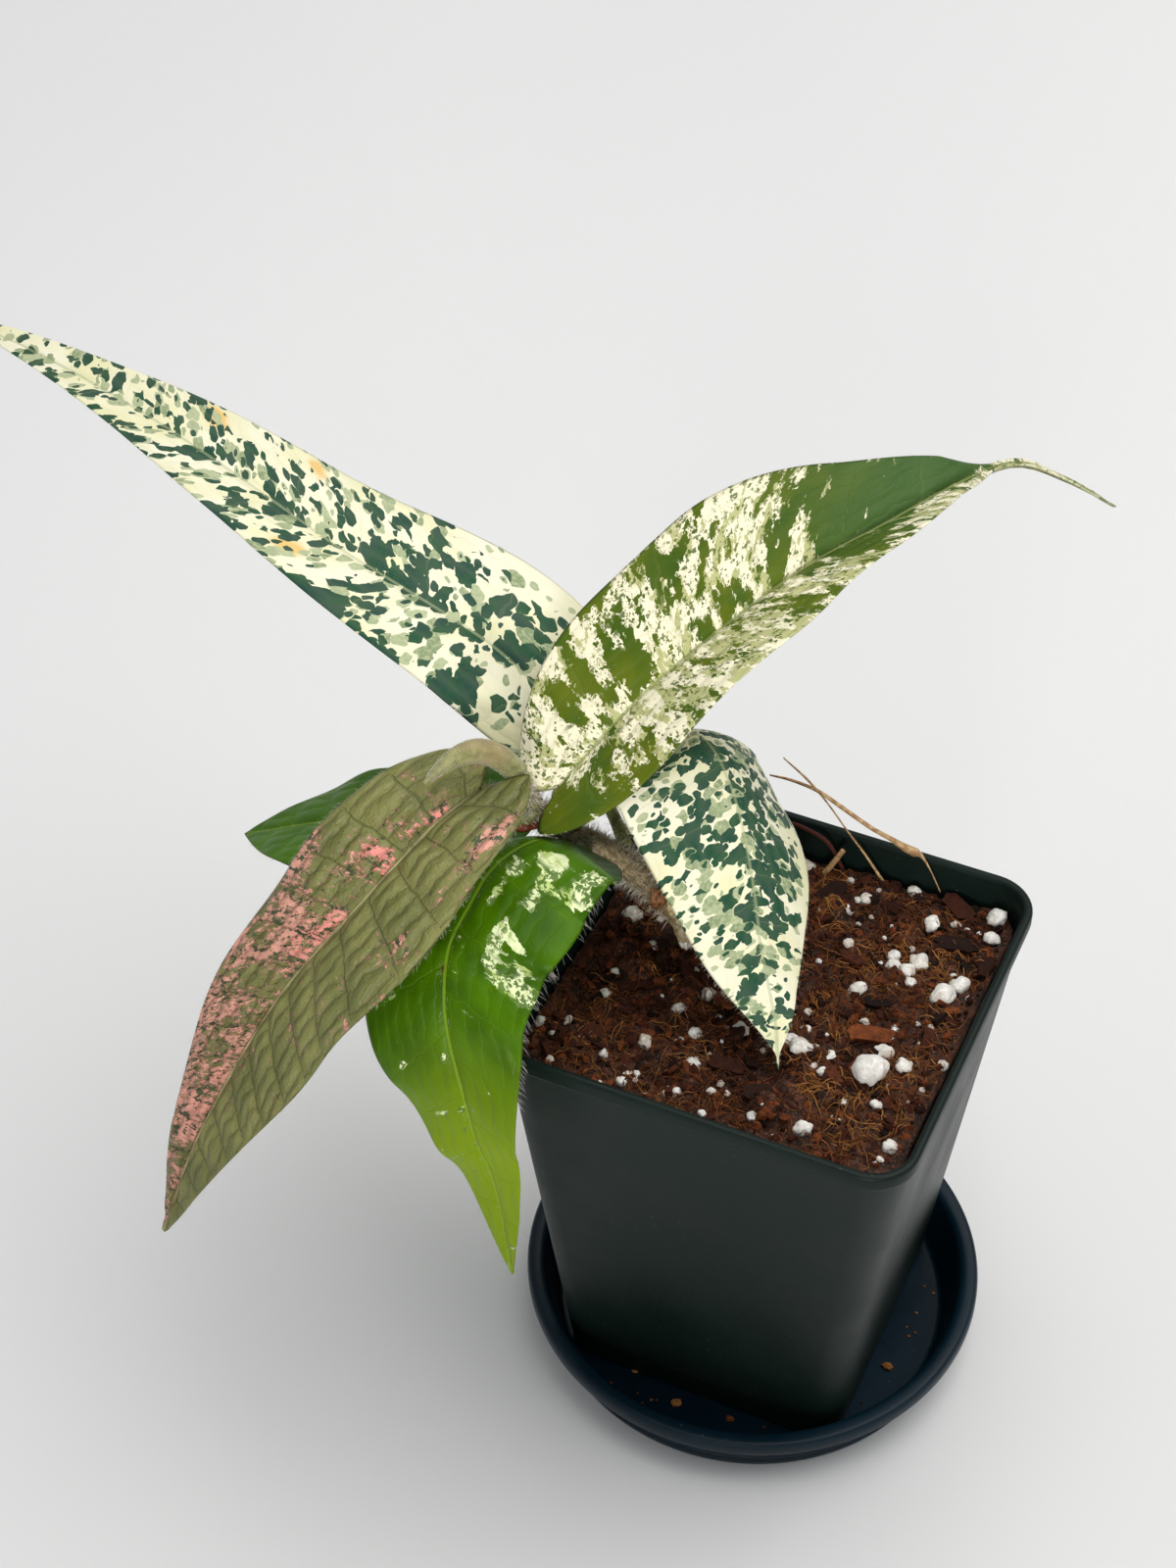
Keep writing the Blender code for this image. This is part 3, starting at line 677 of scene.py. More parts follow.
# %% Leaf markings as zones
MARKINGS = {
    "leaf_back_left": dict(
        slot="leaf_marbled", hairs=(320, 1.0), veins=11, quilt=0.25,
        dark=((0.77, -0.95, 0.014, 0.3, 1.0), (0.64, -1.0, 0.014, 0.3, 1.0),
              (0.59, -0.9, 0.014, 0.3, 1.0), (0.43, -1.0, 0.014, 0.2, 1.0),
              (0.28, -0.95, 0.022, 0.25, 1.0), (0.21, -1.0, 0.016, 0.25, 1.0),
              (0.13, -0.85, 0.035, 0.2, 1.0), (0.21, 1.0, 0.014, 0.2, 1.0),
              (0.24, 0.45, 0.06, 0.3, 0.4), (0.1, 0.25, 0.08, 0.35, 0.45),
              (0.42, 0.1, 0.08, 0.3, 0.2), (0.08, 0.95, 0.25, 0.2, -0.5),
              (0.3, -0.75, 0.3, 0.1, -0.35), (0.45, 0.9, 0.2, 0.2, -0.2)),
        pale=((0.85, 0.0, 0.2, 1.0, 0.5), (0.45, 0.0, 0.2, 0.3, 0.3)),
        blush=((0.54, 0.72, 0.025, 0.25, 1.0), (0.38, 0.82, 0.02, 0.18, 0.8),
               (0.36, -0.6, 0.022, 0.2, 1.0), (0.48, 0.5, 0.015, 0.15, 0.5)),
    ),
    "leaf_right": dict(
        slot="leaf_speckled", hairs=(620, 1.1), veins=8, quilt=0.4,
        pale_base=0.25,
        pale=((0.6, -0.5, 0.17, 0.9, -1.7), (0.42, -0.3, 0.012, 0.25, 1.7),
              (0.24, -0.72, 0.03, 0.2, -1.0), (0.18, -0.32, 0.03, 0.22, -1.1),
              (0.1, -0.55, 0.02, 0.25, -0.8), (0.3, -0.1, 0.04, 0.15, -0.6),
              (0.04, 0.75, 0.035, 0.4, -1.8), (0.05, 0.15, 0.015, 0.12, 1.2),
              (0.2, 0.4, 0.08, 0.35, 0.3), (0.34, 0.8, 0.03, 0.3, -0.8),
              (0.47, 0.5, 0.03, 0.3, -0.7), (0.85, 0.0, 0.2, 1.0, 0.6),
              (0.34, -0.8, 0.03, 0.4, 0.7)),
        blush=((0.35, 0.5, 0.25, 0.5, 0.6),),
    ),
    "leaf_low_right": dict(
        slot="leaf_marbled", hairs=(420, 1.1), veins=9, quilt=0.2,
        dark=((0.45, 0.2, 0.25, 0.3, 0.3), (0.5, -0.4, 0.4, 0.45, 0.32),
              (0.75, 1.0, 0.3, 0.12, -0.2), (0.4, 0.95, 0.25, 0.1, -0.35),
              (0.8, 0.45, 0.02, 0.25, 0.9), (0.88, 0.55, 0.02, 0.3, 0.9),
              (0.3, 0.45, 0.12, 0.2, 0.3), (0.5, -0.95, 0.4, 0.2, -0.3)),
        pale=((0.4, 0.3, 0.4, 0.6, 0.9),),
        blush=((0.22, -0.85, 0.04, 0.2, 0.8),),
    ),
    "leaf_front_drooping": dict(
        slot="leaf_bright", hairs=(620, 2.3), veins=9, quilt=0.14,
        pale_base=-1.0,
        pale=((0.18, -0.2, 0.022, 0.13, 2.0), (0.135, -0.38, 0.022, 0.14, 2.0),
              (0.17, -0.46, 0.045, 0.05, 2.0), (0.21, -0.53, 0.03, 0.05, 1.8),
              (0.14, -0.8, 0.028, 0.17, 2.2), (0.17, -0.65, 0.015, 0.15, 1.6),
              (0.24, -0.18, 0.035, 0.05, 1.7), (0.29, -0.4, 0.035, 0.07, 1.9),
              (0.28, -0.6, 0.01, 0.16, 1.8), (0.33, -0.45, 0.03, 0.07, 1.8),
              (0.32, -0.78, 0.022, 0.05, 1.8), (0.365, -0.6, 0.016, 0.2, 2.0),
              (0.36, -0.9, 0.022, 0.2, 2.2), (0.02, -0.6, 0.015, 0.3, 1.3),
              (0.49, 0.7, 0.008, 0.05, 2.0), (0.53, 0.12, 0.008, 0.04, 2.0)),
        blush=((0.39, 0.02, 0.007, 0.035, 1.5),),
    ),
    "leaf_young_red": dict(
        slot="leaf_young", hairs=(700, 1.2), veins=15, quilt=0.9,
        pale=((0.72, 0.5, 0.32, 1.4, 2.0), (0.36, 0.6, 0.1, 0.7, 1.2),
              (0.09, 0.06, 0.035, 0.1, 1.8), (0.19, 0.25, 0.012, 0.3, 1.7),
              (0.25, 0.9, 0.05, 0.15, 1.5), (0.13, 0.82, 0.015, 0.12, 1.2),
              (0.09, 0.77, 0.012, 0.12, 1.2), (0.32, 0.1, 0.05, 0.1, 1.0)),
        dark=((0.09, -0.8, 0.05, 0.13, 1.3), (0.13, -0.25, 0.02, 0.08, 0.9),
              (0.24, -0.72, 0.018, 0.035, 1.2), (0.33, -0.93, 0.006, 0.04, 1.2)),
        blush=((0.09, 0.06, 0.06, 0.25, 1.0), (0.19, 0.15, 0.03, 0.3, 1.0),
               (0.36, 0.15, 0.1, 0.2, 0.7), (0.7, 0.3, 0.2, 0.4, 0.4)),
    ),
    "leaf_left_green": dict(slot="leaf_plain", hairs=(260, 1.2), veins=7, quilt=0.2),
}
for leaf_name, marking in MARKINGS.items():
    LEAVES[leaf_name].update(marking)
print("leaves:", {name: round(MeasuredLine(leaf["rib"]).length) for name, leaf in LEAVES.items()})

# %% [markdown]
# The leaf materials share their veins, their pale underside and their fine relief. Each
# starts from three things stored on the mesh: where a point is among the side veins, how
# far it is out along its vein and up the midrib in millimetres, and the strength of the
# marked zones. Noise that is stretched along the veins gives markings with ragged ends like
# the real ones.

# %% Shared leaf finish
class LeafLook(Look):
    """A leaf's material, with its leaf coordinates ready to use."""

    def __init__(self, name, roughness, sheen=0.18):
        super().__init__(name, roughness, Specular_IOR_Level=sheen)
        self.number, self.out, self.below = self.parts(self.attribute("vein_place"))
        self.flow = self.attribute("leaf_flow")
        self.reach, self.run, self.share = self.parts(self.flow)
        self.pale, self.blush, self.dark = self.parts(self.attribute("tint"))

    def along_veins(self, stretch, offset=0.0):
        """Leaf coordinates in which a pattern comes out longer along the veins."""
        drawn = self.combine("MULTIPLY", self.flow, (1 / stretch, 1.0, 0.0))
        return self.combine("ADD", drawn, (offset, offset, offset))

    def wandering(self, where, scale, amount, detail=3):
        """The same coordinates, pushed about by noise, for ragged edges."""
        push = self.noise(where, scale, detail, output="Color")
        centred = self.combine("SUBTRACT", push, (0.5, 0.5, 0.5))
        moved = self.combine("MULTIPLY", centred, (amount, amount, 0.0))
        return self.combine("ADD", where, moved)

    def finish(self, colour, rib, rib_share, vein, vein_and_hollow_shade_share, under, depth):
        """Adds veins, painted shade between the cushions, the underside and the fine relief, and
        links them to the shader.
        """
        wander = self.noise(self.flow, 0.2, 2)
        number = self.number + (wander - 0.5) * 0.25
        side_vein = number.to_nearest().step(0.006, 0.03, 1, 0)
        side_vein = side_vein * self.out.size().step(0.75, 1.0, 1, 0.2)
        ladder = self.reach.size() / CROSS_VEIN_SPACING + (wander - 0.5) * 1.2
        ladder = ladder + self.number.whole() * CROSS_VEIN_SHIFT
        cross_vein = ladder.to_nearest().step(0.02, 0.09, 1, 0)
        net = self.cells(self.flow, 0.55, feature="DISTANCE_TO_EDGE").step(0.03, 0.12, 1, 0)
        midrib = self.reach.size().step(0.22, 0.5, 1, 0)
        pillow = ladder.to_nearest().step(0, 0.42) * number.to_nearest().step(0, 0.3)
        veins = (side_vein * 0.8).highest(cross_vein * 0.3).highest(net * 0.15)
        # Between the cushions the colour moves towards the vein colour: painted shade in the
        # hollows.
        painted = self.mix(veins.highest(0.35 - pillow * 0.35) * vein_and_hollow_shade_share, colour, vein)
        painted = self.mix(midrib * rib_share, painted, rib)
        self.colour(self.mix(self.below * 0.62, painted, under))
        cell_grain = self.noise(self.flow, 2.2, 2)
        furrow = side_vein.highest(midrib) * 0.8 + cross_vein * 0.55 + net * 0.15
        side = 1 - self.below * 2  # veins sink in above and stand out below
        height = 0.5 + (pillow * 0.5 - furrow * 0.5) * side + cell_grain * 0.25
        self.relief(height, depth)


# %% [markdown]
# The two old leaves are cream with blotches of dark blue-green and of grey-green. On the
# real leaf a blotch is a few neighbouring patches of tissue that are green all through, so
# here the leaf is divided into small cells and each draws a lot. Slow noise and the zones
# weight the lots, so that dark cells gather beside the midrib and leave the margin cream.
# A few soft orange stains complete them.

# %% Marbled leaf
def marbled_look(name, patches_per_mm, seed):
    look = LeafLook(name, 0.5)
    drawn = look.along_veins(1.3, seed)
    ragged = look.wandering(drawn, 0.6, 1.7, 1)
    cell = look.cells(ragged, patches_per_mm, output="Color")
    dark_lot, grey_lot, tone_lot = look.parts(cell)
    rim = look.cells(ragged, patches_per_mm) * 0.42  # rounds a patch off near its edge
    crowd = look.noise(drawn, 0.16, 1)
    grey_crowd = look.noise(look.combine("ADD", drawn, (31.0, 17.0, 0.0)), 0.16, 1)
    dark = (dark_lot * 0.5 + crowd * 0.8 + look.dark * 0.5 - rim).step(0.52, 0.532)
    grey = grey_lot * 0.5 + grey_crowd * 0.7 + look.pale * 0.14 + look.dark * 0.1 - rim
    grey = grey.step(0.51, 0.525)
    tone = look.noise(look.flow, 0.06, 2)
    cream = look.mix(tone.step(0.35, 0.7), paint("F2EED4"), paint("E9E5B8"))
    stain = (look.blush + look.noise(look.flow, 0.5, 3) * 0.6 - 0.3).step(0.25, 0.8)
    cream = look.mix(stain * 0.85, cream, paint("EABD62"))
    grey_green = look.mix(tone_lot, paint("7F9168"), paint("B3BC94"))
    grey_green = look.mix(look.noise(look.flow, 1.3, 3).step(0.4, 0.65) * 0.5, grey_green,
                          paint("C9CDA6"))
    deep = look.mix(tone_lot, paint("1F4F33"), paint("25483B"))
    colour = look.mix(grey, cream, grey_green)
    colour = look.mix(dark, colour, deep)
    look.finish(colour, paint("A9B287"), 0.45, paint("B9BF92"), 0.16, paint("C9CBA8"), 0.12)
    return look


# %% [markdown]
# The olive leaf has cream patches that are peppered with green dots, and green ones with
# cream dots at their edges. Both come from one sum: slow noise stretched far along the
# veins says where a patch is, and fine noise breaks its edge into dots. The bright leaf has
# the same marks, but only in a few zones.

# %% Speckled leaf
def speckled_look(name, greens, cream, sage, seed, roughness, edge, holes):
    look = LeafLook(name, roughness, 0.12)
    drawn = look.along_veins(2.4, seed)
    ragged = look.wandering(drawn, 0.9, 1.2)
    by_vein = look.noise(look.vector(look.number * 1.3, look.out * 0.6, seed), 1.0, 1)
    pepper = look.noise(look.along_veins(1.3, seed + 5), 1.1, 3, 0.62)
    patch = look.noise(ragged, 0.34, 3, 0.55) * 0.65 + by_vein * 0.35
    patch = patch + look.pale * 0.14 + (pepper - 0.5) * 0.3
    patch = patch.step(edge, edge + 0.01)
    dots = pepper.step(holes, holes + 0.015) * look.noise(drawn, 0.22, 2).step(0.35, 0.5)
    veil = (look.noise(drawn, 0.4, 4, 0.6) + look.blush * 0.12).step(0.53, 0.57)
    pale = look.mix(veil * 0.85, cream, sage)
    tone = look.noise(look.flow, 0.09, 2)
    green = look.mix(tone.step(0.3, 0.7), *greens)
    pale = look.mix(dots * 0.9, pale, green)
    return look, patch, green, pale


def olive_look():
    look, patch, green, pale = speckled_look(
        "leaf_olive_speckled", (paint("5F6C12"), paint("3C5712")), paint("F8F1D2"),
        paint("B0B272"), 3.0, 0.42, 0.49, 0.56)
    deeper = look.share.step(0.3, 0.6) * (1 - look.out.step(-0.02, 0.02) * 0.5)
    colour = look.mix(patch, look.mix(deeper, green, paint("41602E")), pale)
    look.finish(colour, paint("8E9A58"), 0.7, paint("6F8243"), 0.28, paint("A9B088"), 0.22)
    return look


def bright_look():
    look, patch, green, pale = speckled_look(
        "leaf_bright_green", (paint("467000"), paint("2F5400")), paint("EAF2C0"),
        paint("BCD27A"), 11.0, 0.36, 0.5, 0.49)
    hanging = look.share.step(0.42, 0.75)
    green = look.mix(hanging, green, paint("829C00"))
    colour = look.mix(patch, green, pale)
    colour = look.mix(look.blush.step(0.5, 0.9), colour, paint("4A1F12"))
    look.finish(colour, paint("8DB02C"), 0.55, paint("6C9414"), 0.3, paint("86A32C"), 0.2)
    return look


def plain_look():
    look = LeafLook("leaf_plain_green", 0.4)
    tone = look.noise(look.flow, 0.1, 2)
    colour = look.mix(tone.step(0.3, 0.7), paint("4E7A10"), paint("3F690B"))
    look.finish(colour, paint("84A53A"), 0.6, paint("67902A"), 0.35, paint("6E8B3B"), 0.2)
    return look


# %% [markdown]
# The young leaf is still olive brown. Where its tissue has no green it is pink, in flecks
# from a third of a millimetre to three across, over a veil of greyish pink. The flecks
# cover most of the left half and stop sharply at the midrib. The pink is brightest beside
# the midrib, and a few dark and a few cream flecks run through it.

# %% Young leaf
def young_look():
    look = LeafLook("leaf_young_pink", 0.42, 0.4)
    drawn = look.along_veins(1.3, 23.0)
    grain = look.noise(look.wandering(drawn, 1.3, 1.2), 0.95, 4, 0.72)
    slow = look.noise(drawn, 0.13, 2, 0.6)
    left_half = look.out.step(-0.02, 0.02)
    marked = (look.pale.lowest(2.0) * left_half).highest(look.dark * 1.6)
    field = grain * 0.58 + slow * 0.42 + marked * 0.085
    tone = look.noise(look.flow, 0.09, 2)
    olive = look.mix(tone.step(0.3, 0.7), paint("85854A"), paint("6B6F38"))
    veil = field.step(0.57, 0.61)
    colour = look.mix(veil * 0.8, olive, paint("A87C68"))
    rosy = look.mix(look.blush.step(0.1, 0.8), paint("E2A28E"), paint("F5988C"))
    colour = look.mix(field.step(0.63, 0.645), colour, rosy)
    dark_flecks = look.noise(look.along_veins(1.4, 51.0), 0.75, 4, 0.7).step(0.54, 0.56)
    colour = look.mix(dark_flecks * veil, colour, paint("3E4A2B"))
    specks = look.cells(look.flow, 0.16).step(0.025, 0.04, 1, 0)
    colour = look.mix(specks * 0.6, colour, paint("C9C7A4"))
    look.finish(colour, paint("B0A878"), 0.75, paint("4A4F30"), 0.4, paint("8B8560"), 0.9)
    return look


def stalk_look():
    look = Look("leaf_stalk", 0.6, Specular_IOR_Level=0.3)
    tone = look.noise(look.position(), 400, 3)
    look.colour(look.mix(tone.step(0.35, 0.65), paint("8E8F55"), paint("64693A")))
    look.relief(tone, 0.1)
    return look


leaf_looks = {
    "leaf_back_left": marbled_look("leaf_marbled_long", 0.41, 7.0),
    "leaf_right": olive_look(),
    "leaf_low_right": marbled_look("leaf_marbled_low", 0.52, 41.0),
    "leaf_front_drooping": bright_look(),
    "leaf_young_red": young_look(),
    "leaf_left_green": plain_look(),
}
stalk_finish = stalk_look()
print("leaf materials:", len(set(look.material.name for look in leaf_looks.values())))

# %% [markdown]
# Now the leaves themselves: the blade, then the stalk as a second material on the same
# piece. The rows are about 0.9 mm apart, so that side veins and cushions are real shape.

# %% Leaves
ROW_SPACING = 0.85
LEAF_COLUMNS = 34


def make_leaf(name):
    leaf = LEAVES[name]
    rows = int(MeasuredLine(leaf["rib"]).length / ROW_SPACING)
    rib, halves, points, faces, corners = make_blade(leaf, rows, LEAF_COLUMNS)
    blade_faces = len(faces)
    stalk_points, stalk_faces = tube(stalk_stations(leaf, rib), 10)
    first = len(points)
    points = [*points, *stalk_points]
    faces = faces + [tuple(i + first for i in face) for face in stalk_faces]
    made = add_piece("fine_" + name, points, faces, [leaf_looks[name], stalk_finish],
                     replaces=(name,))
    mesh = made.data
    for key in ("vein_place", "leaf_flow", "tint"):
        blade_values = corner_values(halves, LEAF_COLUMNS, rows, corners, key)
        values = np.zeros((len(mesh.loops), 3), np.float32)
        values[:len(blade_values)] = blade_values
        mesh.attributes.new(key, "FLOAT_VECTOR", "CORNER").data.foreach_set(
            "vector", values.ravel())
    marks = np.zeros(len(faces), np.int32)
    marks[blade_faces:] = 1
    mesh.polygons.foreach_set("material_index", marks)


for leaf_name in LEAVES:
    make_leaf(leaf_name)

# %% [markdown]
# The plant is hairy. On a real leaf the hairs stand along the margin and on the ribs, and
# on the stem they form a silvery coat. Hair curves wouldn't survive an export, so each hair
# here is a slim three-sided spike with one bend, and all hairs of a part are one piece.

# %% Hairs
def add_hair(pile, root, way, length, radius, droop):
    """A three-sided spike from root towards way that droops a little at its end."""
    way = Vector(way).normalized()
    side = way.orthogonal().normalized()
    other = way.cross(side)
    root = Vector(root) - way * 0.15
    middle = root + way * length * 0.55
    tip = root + way * length + Vector((0, 0, -droop * length))
    points = []
    for centre, width in ((root, radius), (middle, radius * 0.7)):
        for k in range(3):
            angle = 2 * math.pi * k / 3
            points.append(centre + (side * math.cos(angle) + other * math.sin(angle)) * width)
    points.append(tip)
    faces = [(2, 1, 0)]
    for k in range(3):
        j = (k + 1) % 3
        faces.append((k, j, 3 + j, 3 + k))
        faces.append((3 + k, 3 + j, 6))
    pile.add(points, faces)


def hair_look(name, colour):
    look = Look(name, 0.5, Specular_IOR_Level=0.4)
    tone = look.noise(look.position(), 900, 1)
    look.colour(look.mix(tone, colour, tuple(c * 0.7 for c in colour[:3]) + (1.0,)))
    return look


STALK_HAIRS = 240
SHARE_AT_MARGIN = 0.72  # of a blade's hairs, and the rest stand beside the midrib
pale_hair = hair_look("pale_hair", paint("F4F1E2"))
draw = random.Random(12)


def round_the_bar(along):
    """A random direction square to a bar that runs along the given one."""
    side = along.orthogonal().normalized()
    side.rotate(Matrix.Rotation(draw.uniform(0, 2 * math.pi), 3, along))
    return side


def leaf_hairs(name):
    """Hairs along both margins, up both sides of the midrib and round the stalk."""
    leaf = LEAVES[name]
    count, length = leaf["hairs"]
    rib = MeasuredLine(leaf["rib"])
    pile = Pile()
    for _ in range(count):
        side = draw.choice((0, 1))
        s = np.array(draw.uniform(0.0, 0.985))
        at_margin = draw.random() < SHARE_AT_MARGIN
        u = 1.0 if at_margin else 0.04
        places = []
        for part in (u, u - 0.06 if at_margin else u + 0.06):
            x, y = flat_point(leaf, rib.length, s, np.array(part), side)
            places.append(Vector(blade_point(leaf, rib, x, y, side)))
        up = Vector(upper_normal(leaf, rib, s * rib.length))
        ahead = Vector(rib.heading(s * rib.length))
        if at_margin:
            way = (places[0] - places[1]).normalized() + ahead * draw.uniform(-0.1, 0.9)
            way += up * draw.uniform(-0.5, 0.5)
            reach = length * draw.uniform(0.5, 1.25)
        else:
            way = up * draw.choice((-1.0, 0.7)) + ahead * draw.uniform(0.2, 1.2)
            way += (places[1] - places[0]).normalized() * draw.uniform(0.2, 0.8)
            reach = length * draw.uniform(0.35, 0.75)
        add_hair(pile, places[0], way, reach, 0.024, draw.uniform(0.0, 0.25))
    stalk = stalk_stations(leaf, rib)[:STALK_STATIONS + 1]
    for _ in range(STALK_HAIRS):
        k = draw.randrange(STALK_STATIONS)
        place, radius = stalk[k]
        along = (stalk[k + 1][0] - place).normalized()
        side = round_the_bar(along)
        root = place.lerp(stalk[k + 1][0], draw.random()) + side * radius
        way = side + along * draw.uniform(-0.2, 0.9)
        add_hair(pile, root, way, draw.uniform(0.9, 2.4), 0.04, draw.uniform(0.0, 0.3))
    add_piece("hairs_" + name, pile.points, pile.faces, [pale_hair])


for leaf_name in LEAVES:
    leaf_hairs(leaf_name)

# %% [markdown]
# The stem is brown and woody low down and greener at the top, and its radius ripples a
# little along it. It is one bar along the frame's curve. Its coat is made of two kinds of
# hair: long silvery ones that stand off, and short tan ones that lie close. They are so
# dense that little bark shows between them.

# %% Stem
STEM_BURIED_POINTS = 4
STEM_RINGS = 90
STEM_HAIRS = 5200


def stem_look():
    look = Look("hairy_bark", 0.85)
    grain = look.noise(look.position(), 700, 4, 0.6)
    height = look.parts(look.position())[2]
    wood = look.mix(grain.step(0.4, 0.6), paint("84704F"), paint("B7A683"))
    young = look.mix(grain.step(0.4, 0.6), paint("6A6B41"), paint("8D8A5B"))
    look.colour(look.mix(height.step(0.126, 0.14), wood, young))
    look.relief(grain, 0.35)
    return look


def make_stem():
    stations = []
    for distance, place, _ in stem_line.stops(STEM_RINGS):
        radius = stem_line.blend(distance, stem_radii)
        ring = 0.12 * math.sin(distance * 1.9) + 0.1 * math.sin(distance * 5.3 + 1)
        stations.append((place, radius - 0.1 + ring * 0.6))
    points, faces = tube(stations, 20)
    add_piece("fine_stem", points, faces, [stem_look()], replaces=("stem",))


def stem_hairs():
    long_hairs = Pile()
    short_hairs = Pile()
    bare = stem_line.runs[::CURVE_STEPS][STEM_BURIED_POINTS - 1]
    for k in range(STEM_HAIRS):
        distance = draw.uniform(bare, stem_line.length)
        along = Vector(stem_line.heading(distance))
        centre = Vector(stem_line.at(distance))
        radius = float(stem_line.blend(distance, stem_radii)) - 0.1
        side = round_the_bar(along)
        root = centre + side * radius
        if k % 2:
            way = side + along * draw.uniform(-0.3, 0.8)
            add_hair(long_hairs, root, way, draw.uniform(1.4, 3.4), 0.05, draw.uniform(0, 0.3))
        else:
            way = side * 0.45 + along * draw.uniform(-1.0, 1.0)
            add_hair(short_hairs, root, way, draw.uniform(0.8, 1.8), 0.065, 0.0)
    silver = hair_look("silver_hair", paint("F2ECDD"))
    tan = hair_look("tan_hair", paint("D3BE98"))
    add_piece("stem_long_hairs", long_hairs.points, long_hairs.faces, [silver])
    add_piece("stem_short_hairs", short_hairs.points, short_hairs.faces, [tan])


make_stem()
stem_hairs()

# %% [markdown]
# Each leaf bud was wrapped in two scales, which dry up and hang on for a while. One red
# brown scale stands beside the young leaf's stalk, and a clump of old ones with stiff brown
# fibres sits on the side of the stem, just over the mix. A scale is a bar pressed flat: each
# ring of its points is squeezed towards the middle along one direction.

# %% Dry scales
DRY_SCALES = {
    "dry_scale_red": dict(
        line=((-48.5, -2.2, 136), (-51, -5.5, 138.3), (-53, -8.5, 139.3), (-55.5, -11, 140.6)),
        widths=(0.7, 1.4, 1.5, 0.3), face=(0.3, -0.3, 1), curl=0.3,
        finish=("dry_red_scale", "5A200E", "8A3E1C")),
    "dry_scale_brown": dict(
        line=((-27.5, 6.5, 115), (-27, 4.0, 116.5), (-26.5, 2.5, 119), (-28, 1.8, 122)),
        widths=(0.8, 2.2, 2.3, 0.4), face=(0.7, -0.7, 0.3), curl=0.5,
        finish=("dry_brown_scale", "5A3420", "A9774A")),
    "dry_scale_yellow": dict(
        line=((-25, 5.5, 113.5), (-23.5, 3.5, 115.5), (-23.5, 2.5, 118), (-24.5, 2.5, 120.5)),
        widths=(0.6, 1.4, 1.5, 0.3), face=(0.8, -0.5, 0.4), curl=0.4,
        finish=("dry_yellow_scale", "A98A50", "D9C68E")),
}
SCALE_HALF_THICKNESS = 0.16
SCALE_RINGS = 24
SCALE_SIDES = 12
CLUMP_AT = (-27, 5, 116)
CLUMP_FIBRES = 46


def dry_look(name, dark, light):
    look = Look(name, 0.6, Specular_IOR_Level=0.3)
    streak = look.noise(look.position(), 800, 4, 0.65)
    look.colour(look.mix(streak.step(0.35, 0.65), paint(dark), paint(light)))
    look.relief(streak, 0.25)
    return look


def make_scale(name, scale):
    line = MeasuredLine(scale["line"])
    face = Vector(scale["face"]).normalized()
    points = []
    for k, (distance, centre, along) in enumerate(line.stops(SCALE_RINGS)):
        normal = (face - along * face.dot(along)).normalized()
        across = along.cross(normal)
        width = float(line.blend(distance, scale["widths"]))
        for i in range(SCALE_SIDES):
            angle = 2 * math.pi * i / SCALE_SIDES
            out = math.cos(angle)
            bow = scale["curl"] * width * (1 - out * out) + 0.12 * math.sin(3 * out + k * 0.5)
            points.append(centre + across * out * width
                          + normal * (math.sin(angle) * SCALE_HALF_THICKNESS + bow))
    look = dry_look(*scale["finish"])
    add_piece(name, points, rings_to_faces(SCALE_RINGS, SCALE_SIDES), [look])


def clump_fibres():
    """Stiff fibres and spikes of old scales round the foot of the clump."""
    pile = Pile()
    middle = Vector(CLUMP_AT)
    for _ in range(CLUMP_FIBRES):
        way = Vector((draw.uniform(-0.6, 0.9), draw.uniform(-1.2, 0.1), draw.uniform(-0.6, 1.1)))
        way.normalize()
        bend = Vector((draw.gauss(0, 0.5), draw.gauss(0, 0.5), draw.gauss(-0.2, 0.5)))
        length = draw.uniform(2.0, 5.5)
        radius = draw.uniform(0.05, 0.14)
        start = middle + Vector((draw.gauss(0, 1.2), draw.gauss(0, 0.7), draw.gauss(0, 1.2)))
        stations = []
        for k in range(6):
            t = k / 5
            stations.append((start + (way * t + bend * t * t * 0.5) * length,
                             radius * (1 - 0.8 * t)))
        pile.add(*tube(stations, 4))
    add_piece("dry_scale_fibres", pile.points, pile.faces,
              [dry_look("dry_fibre", "4A2E1C", "C9A878")])


for scale_name, dry_scale in DRY_SCALES.items():
    make_scale(scale_name, dry_scale)
clump_fibres()

# %% [markdown]
# The bud is the next leaf, still folded and wrapped in its sheath. It arches over the top
# of the stem and ends in a thin point. Its section is round with a crease down the outer
# side, where the two edges of the sheath meet, and it is felted with very short hairs.

# %% Bud
BUD = (
    ((-54.8, -6, 148.3), 1.6),
    ((-55, -7, 153), 2.2),
    ((-57, -10, 158.5), 2.4),
    ((-59.5, -13.5, 162), 2.3),
    ((-61.5, -17.5, 163.5), 2.0),
    ((-64, -20.5, 162), 1.3),
    ((-66.5, -23.5, 159), 0.4),
)
BUD_SIDES = 28
BUD_RINGS = 60
CREASE_WAY = Vector((0.9, -0.4, 0))


def bud_look():
    look = Look("bud_sheath", 0.6, Sheen_Weight=0.3, Sheen_Roughness=0.5)
    grain = look.noise(look.position(), 500, 3)
    height = look.parts(look.position())[2]
    blush = look.noise(look.position(), 120, 2).step(0.45, 0.65)
    felt = look.mix(grain.step(0.35, 0.65), paint("9C9A62"), paint("7B7C46"))
    felt = look.mix(blush * 0.5, felt, paint("A58A62"))
    # Towards its foot the bud turns dark olive: painted shade.
    look.colour(look.mix(height.step(0.147, 0.153), paint("5C5A34"), felt))
    look.relief(grain, 0.12)
    return look


